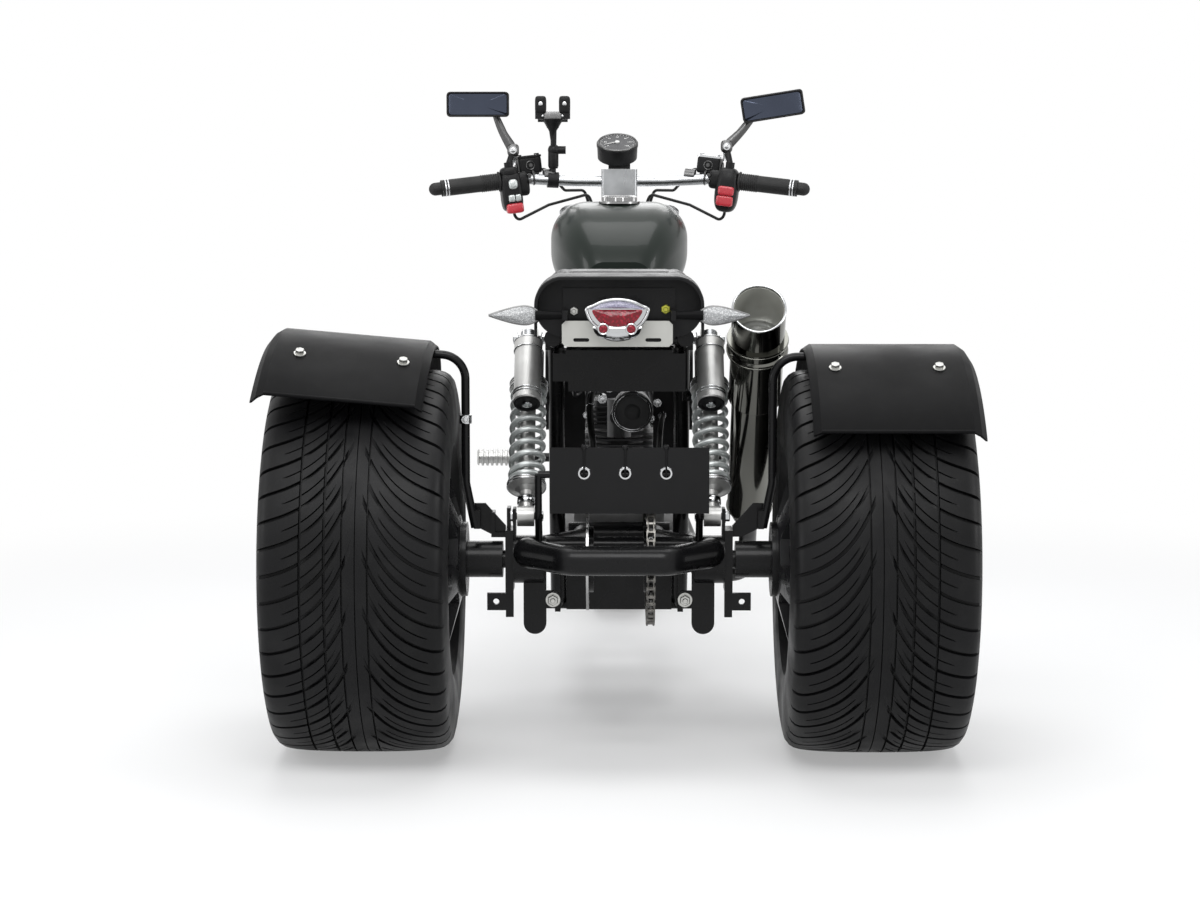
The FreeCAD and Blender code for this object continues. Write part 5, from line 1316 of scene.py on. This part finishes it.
def loop_spots(count):
    """Evenly spaced places on the loop: two arcs about the hubs joined by two tangents."""
    upper, lower = slope + math.pi / 2 + tilt, slope - math.pi / 2 - tilt
    rear = arc(HUB, BIG, lower, upper, 160)
    front = arc(PULL, SMALL, upper, slope + 1.5 * math.pi - tilt, 60)
    path = np.vstack([rear, front, rear[:1]])
    length = running_length(path)
    return sample(np.linspace(0, length[-1], count, endpoint=False), length, path)


spots = loop_spots(LINKS)
along = np.roll(spots, -1, 0) - spots
pitch = np.linalg.norm(along, axis=1).mean()
along = unit(along)
square = np.stack([-along[:, 1], along[:, 0]], 1)
round_end = arc(0, 0.0062, math.pi / 2, 1.5 * math.pi, 5)
figure = np.vstack([round_end, [(pitch / 2, -0.0046)], round_end * [-1, -1] + [pitch, 0],
                    [(pitch / 2, 0.0046)]])
pieces = []
for first, low, high in ((0, -0.0070, -0.0056), (0, 0.0056, 0.0070), (1, -0.0054, -0.0040),
                         (1, 0.0040, 0.0054)):
    pick = np.arange(first, LINKS, 2)
    places = np.empty((len(pick), 2, len(figure), 3))
    places[..., 0] = CHAIN_X + np.array((low, high))[None, :, None]
    places[..., 1:] = (spots[pick, None] + figure[None, :, :1] * along[pick, None]
                       + figure[None, :, 1:] * square[pick, None])[:, None]
    pieces += [sheet_of(place) for place in places]
pieces += [lathe([(0.0040, -0.0074), (0.0040, 0.0074)], (CHAIN_X, *spot), ACROSS, 8)
           for spot in spots]
made = make("roller_chain", pieces, "chain_steel", "dark_metal", sharp=35, replaces=("chain",))
print("links", LINKS, "pitch", round(pitch * 1000, 2), "mm,", len(made.data.polygons), "faces")

# %% Teeth round the rear sprocket
TEETH = 42
angle = np.linspace(0, 2 * math.pi, TEETH * 8, endpoint=False)
radius = 0.0975 + 0.0080 * (0.5 + 0.5 * np.cos(TEETH * angle)) ** 0.8
outer, inner = radius[:, None] * circle(TEETH * 8), 0.0900 * circle(TEETH * 8)
rows = [np.column_stack([np.full(len(flat), CHAIN_X + x), HUB[0] + flat[:, 0], HUB[1] + flat[:, 1]])
        for flat, x in ((inner, -0.0022), (outer, -0.0014), (outer, 0.0014), (inner, 0.0022))]
make("sprocket_teeth", [sheet_of(np.stack(rows), "loop")], "dark_steel", "dark_metal",
     "rear_axle_set", 35)
print("teeth", TEETH)

# %% [markdown]
# The engine bay from behind
# Between the shocks one sees the air cleaner's round cap, hoses that bend round it, clamps and
# bolts that catch points of light. Hoses are smooth tubes from fitting to fitting.

# %% Air cleaner cap, hoses and bright fittings
cap = np.array([-0.024, corners("carburettor")[1][1], 0.528])
make("cleaner_cap", [lathe([(0.0300, -0.006), (0.0310, -0.002), (0.0290, 0.0003), (0.0250, -0.0012),
                            (0.0160, -0.0010), (0.0140, 0.0004), (0.0040, 0.0004)], cap, BACK, 64)],
     "engine_black", "cast_metal")
make("cleaner_ring", [ring(0.0312, 0.0019, cap + [0, -0.003, 0], BACK, 72),
                      ring(0.0356, 0.0012, cap + [0, -0.012, 0], BACK, 72)], "bright_alloy",
     "polished_metal")
make("engine_hoses", [tube(smooth_path(stops, 40), radius, sides) for radius, sides, *stops in (
    (0.0065, 14, (0.036, 0.215, 0.560), (0.050, 0.262, 0.556), (0.052, 0.300, 0.520),
     (0.046, 0.330, 0.470), (0.040, 0.300, 0.420)),
    (0.0050, 12, (-0.062, 0.190, 0.500), (-0.078, 0.255, 0.520), (-0.074, 0.330, 0.505),
     (-0.070, 0.350, 0.440), (-0.066, 0.300, 0.392)),
    (0.0038, 10, (0.012, 0.150, 0.575), (0.022, 0.210, 0.584), (0.060, 0.250, 0.572),
     (0.078, 0.300, 0.560), (0.082, 0.360, 0.585)))], "hose_rubber", "black_plastic", sharp=60)
fittings = [ring(0.0072, 0.0013, (0.0515, 0.282, 0.540), (0, 0.6, -0.8), 32),
            ring(0.0057, 0.0012, (-0.078, 0.268, 0.521), (0, 1, 0.1), 32),
            tube([(0.030, 0.205, 0.548), (0.030, 0.246, 0.548)], 0.0075, 20),
            tube([(0.018, 0.190, 0.566), (0.018, 0.232, 0.570)], 0.0105, 24)]
for spot in ((0.058, 0.255, 0.520), (0.030, 0.246, 0.548), (-0.070, 0.230, 0.540),
             (-0.058, 0.235, 0.512), (0.018, 0.232, 0.570)):
    fittings += hex_bolt(spot, BACK, 0.010)
make("bay_fittings", fittings, "bright_alloy", "polished_metal")
print("cap at", cap.round(4))

# %% [markdown]
# Splash flap and lower fittings
# The rubber flap hangs from three ties looped through its holes, each with a bright eyelet. Below
# it, two bolts hold the tabs at the ends of the swinging fork.

# %% Ties, eyelets, lower bolts and tabs
TIE_LOOP = closed_curve([(0.0030, 0.0), (0.0036, 0.020), (0.0034, 0.040), (0.0, 0.0432),
                         (-0.0034, 0.040), (-0.0036, 0.015), (-0.0030, -0.002), (0.0, -0.004)], 60)
ties, eyelets = [], []
for x in (-0.060, 0.007, 0.074):
    spot = middle("splash_flap") * [1, 1, 0] + [x, 0, corners("splash_flap")[1][2] - 0.042]
    ties.append(tube(spot + TIE_LOOP @ np.stack([BACK, UP]), 0.0016, 8, ACROSS, True))
    ties.append(pebble(spot + [-0.0045, -0.0045, 0.038], spot + [0.0045, 0.0045, 0.047], 0.6, 10,
                       16))
    eyelets.append(lathe([(0.0066, 0.0), (0.0072, 0.0016), (0.0096, 0.0016), (0.0110, 0.0)],
                         spot + [0, 0.0014, 0.0], BACK, 40, ends="open"))
make("flap_ties", ties, "moulded_black", "black_plastic")
make("flap_eyelets", eyelets, "bright_alloy", "polished_metal")
TAB_Z = 0.252
lower, tabs = [], []
for side in (1, -1):
    lower += hex_bolt((side * 0.110, REAR[1] + 0.0048, TAB_Z), BACK, 0.016, 0.004)
    tabs.append(plate(rounded_box(0.026, 0.030, 0.006), -0.0035, 0.0035,
                      (side * 0.1125, REAR[1], TAB_Z), -ACROSS, UP, 0.0006))
make("lower_bolts", lower, "hex_zinc", "polished_metal")
make("lower_tabs", tabs, "chassis_black", "frame_paint")
print("ties", len(ties) // 2, "tabs", len(tabs))

# %% [markdown]
# Wheels
# Each rear wheel carries a turned centre cap and five nuts in the dish, so it reads as a real wheel
# from the side as it turns.

# %% Centre caps and wheel nuts
WHEEL_FACE = abs(corners("rear_axle")[1][0]) - 0.006
RIM_X = corners("rear_wheel_left")[1][0] - 0.0015
caps = []
for side in (1, -1):
    spot = np.array([side * (WHEEL_FACE + 0.015), REAR[1], REAR[2]])
    caps += [lathe([(0.0330, 0.0002), (0.0330, 0.0060), (0.0300, 0.0090), (0.0240, 0.0100),
                    (0.0225, 0.0085), (0.0080, 0.0080)], spot, (side, 0, 0))]
    for cos, sin in circle(5):
        caps += hex_bolt(spot + 0.048 * np.array([0, cos, sin]), (side, 0, 0), 0.019, 0.006)
make("wheel_caps", caps, "bright_alloy", "polished_metal", "rear_axle_set")
make("rim_beads", [ring(0.1615, 0.0024, (side * RIM_X, REAR[1], REAR[2]), ACROSS, 96)
                   for side in (1, -1)], "bright_alloy", "wheel_paint", "rear_axle_set", 50)
print("wheel face", round(WHEEL_FACE, 4))

# %% [markdown]
# Headlight
# A domed glass in a chrome rim closes the lamp shell at the front.

# %% Headlight rim and glass
light = np.array([0.0, corners("headlight")[0][1], middle("headlight")[2]])
make("headlight_rim", [ring(0.0770, 0.0032, light + [0, 0.0135, 0], -BACK, 80, 10)], "chrome",
     "polished_metal", "steering", 50)
glass = [(0.0755, -0.0150), (0.0755, -0.0120), (0.0680, -0.0050), (0.0500, -0.0005),
         (0.0300, 0.0008), (0.0100, 0.0012)]
make("headlight_glass", [lathe(glass, light, -BACK, 64)], "lens_mesh", "lamp_lens", "steering", 50)
print("headlight at", light.round(4))

# %% [markdown]
# Filler cap
# A screw cap with a milled edge closes the tank. The mill is a wave on the radius of two of its
# rows: r (1 + 0.018 cos 36 a).

# %% Filler cap
filler = np.array([0.0, middle("fuel_tank")[1] - 0.01, corners("fuel_tank")[1][2] - 0.003])
turn = np.linspace(0, 2 * math.pi, 144, endpoint=False)
mill = 1 + 0.018 * np.cos(36 * turn)
cap = [np.stack([radius * wave * np.cos(turn), radius * wave * np.sin(turn), np.full(144, height)],
                1)
       for radius, height, wave in ((0.040, 0.0, 1), (0.040, 0.004, 1), (0.034, 0.005, mill),
                                    (0.034, 0.012, mill), (0.030, 0.0150, 1), (0.012, 0.0160, 1))]
make("filler_cap", [sheet_of(np.stack(cap) + filler)], "fuel_cap", "polished_metal")
print("filler cap at", filler.round(4))

# %% [markdown]
# Foot pegs
# Pegs are ribbed so that a boot holds: eight thick rings with a groove after each.

# %% Ribbed pegs
PEG_R, GROOVE_R, RIBS = 0.0169, 0.0122, 8
peg_end = corners("foot_pegs")[1][0]
edge = np.linspace(0.206, peg_end - 0.004, RIBS * 2 + 1)
profile = [(0.0155, edge[0])]
for number, (start, end) in enumerate(zip(edge[:-1], edge[1:])):
    radius = GROOVE_R if number % 2 else PEG_R
    profile += [(radius, start + 0.0004), (radius, end - 0.0004)]
profile += [(PEG_R, peg_end - 0.0035), (0.0140, peg_end - 0.0003)]
peg = middle("foot_pegs") * [0, 1, 1]
make("ribbed_pegs", [lathe(profile, peg, (side, 0, 0), 40) for side in (1, -1)], "brushed_alloy",
     "polished_metal", replaces=("foot_pegs",))
print("pegs at", peg.round(4))

# %% [markdown]
# Inner guards
# Behind the side covers a black guard stands on each side of the carburettor and keeps spray off
# it. The right one is taller, which leaves a gap above the left one.

# %% Two guards beside the carburettor
FOOT_Z = 0.405
guards = [plate(rounded_box(0.054, top - FOOT_Z, 0.012), -0.001, 0.001,
                (x, 0.226, (top + FOOT_Z) / 2), ACROSS, UP, 0.0004)
          for x, top in ((-0.089, 0.645), (0.089, 0.612))]
make("inner_guards", guards, "moulded_black", "black_plastic")
print("inner guards", len(guards))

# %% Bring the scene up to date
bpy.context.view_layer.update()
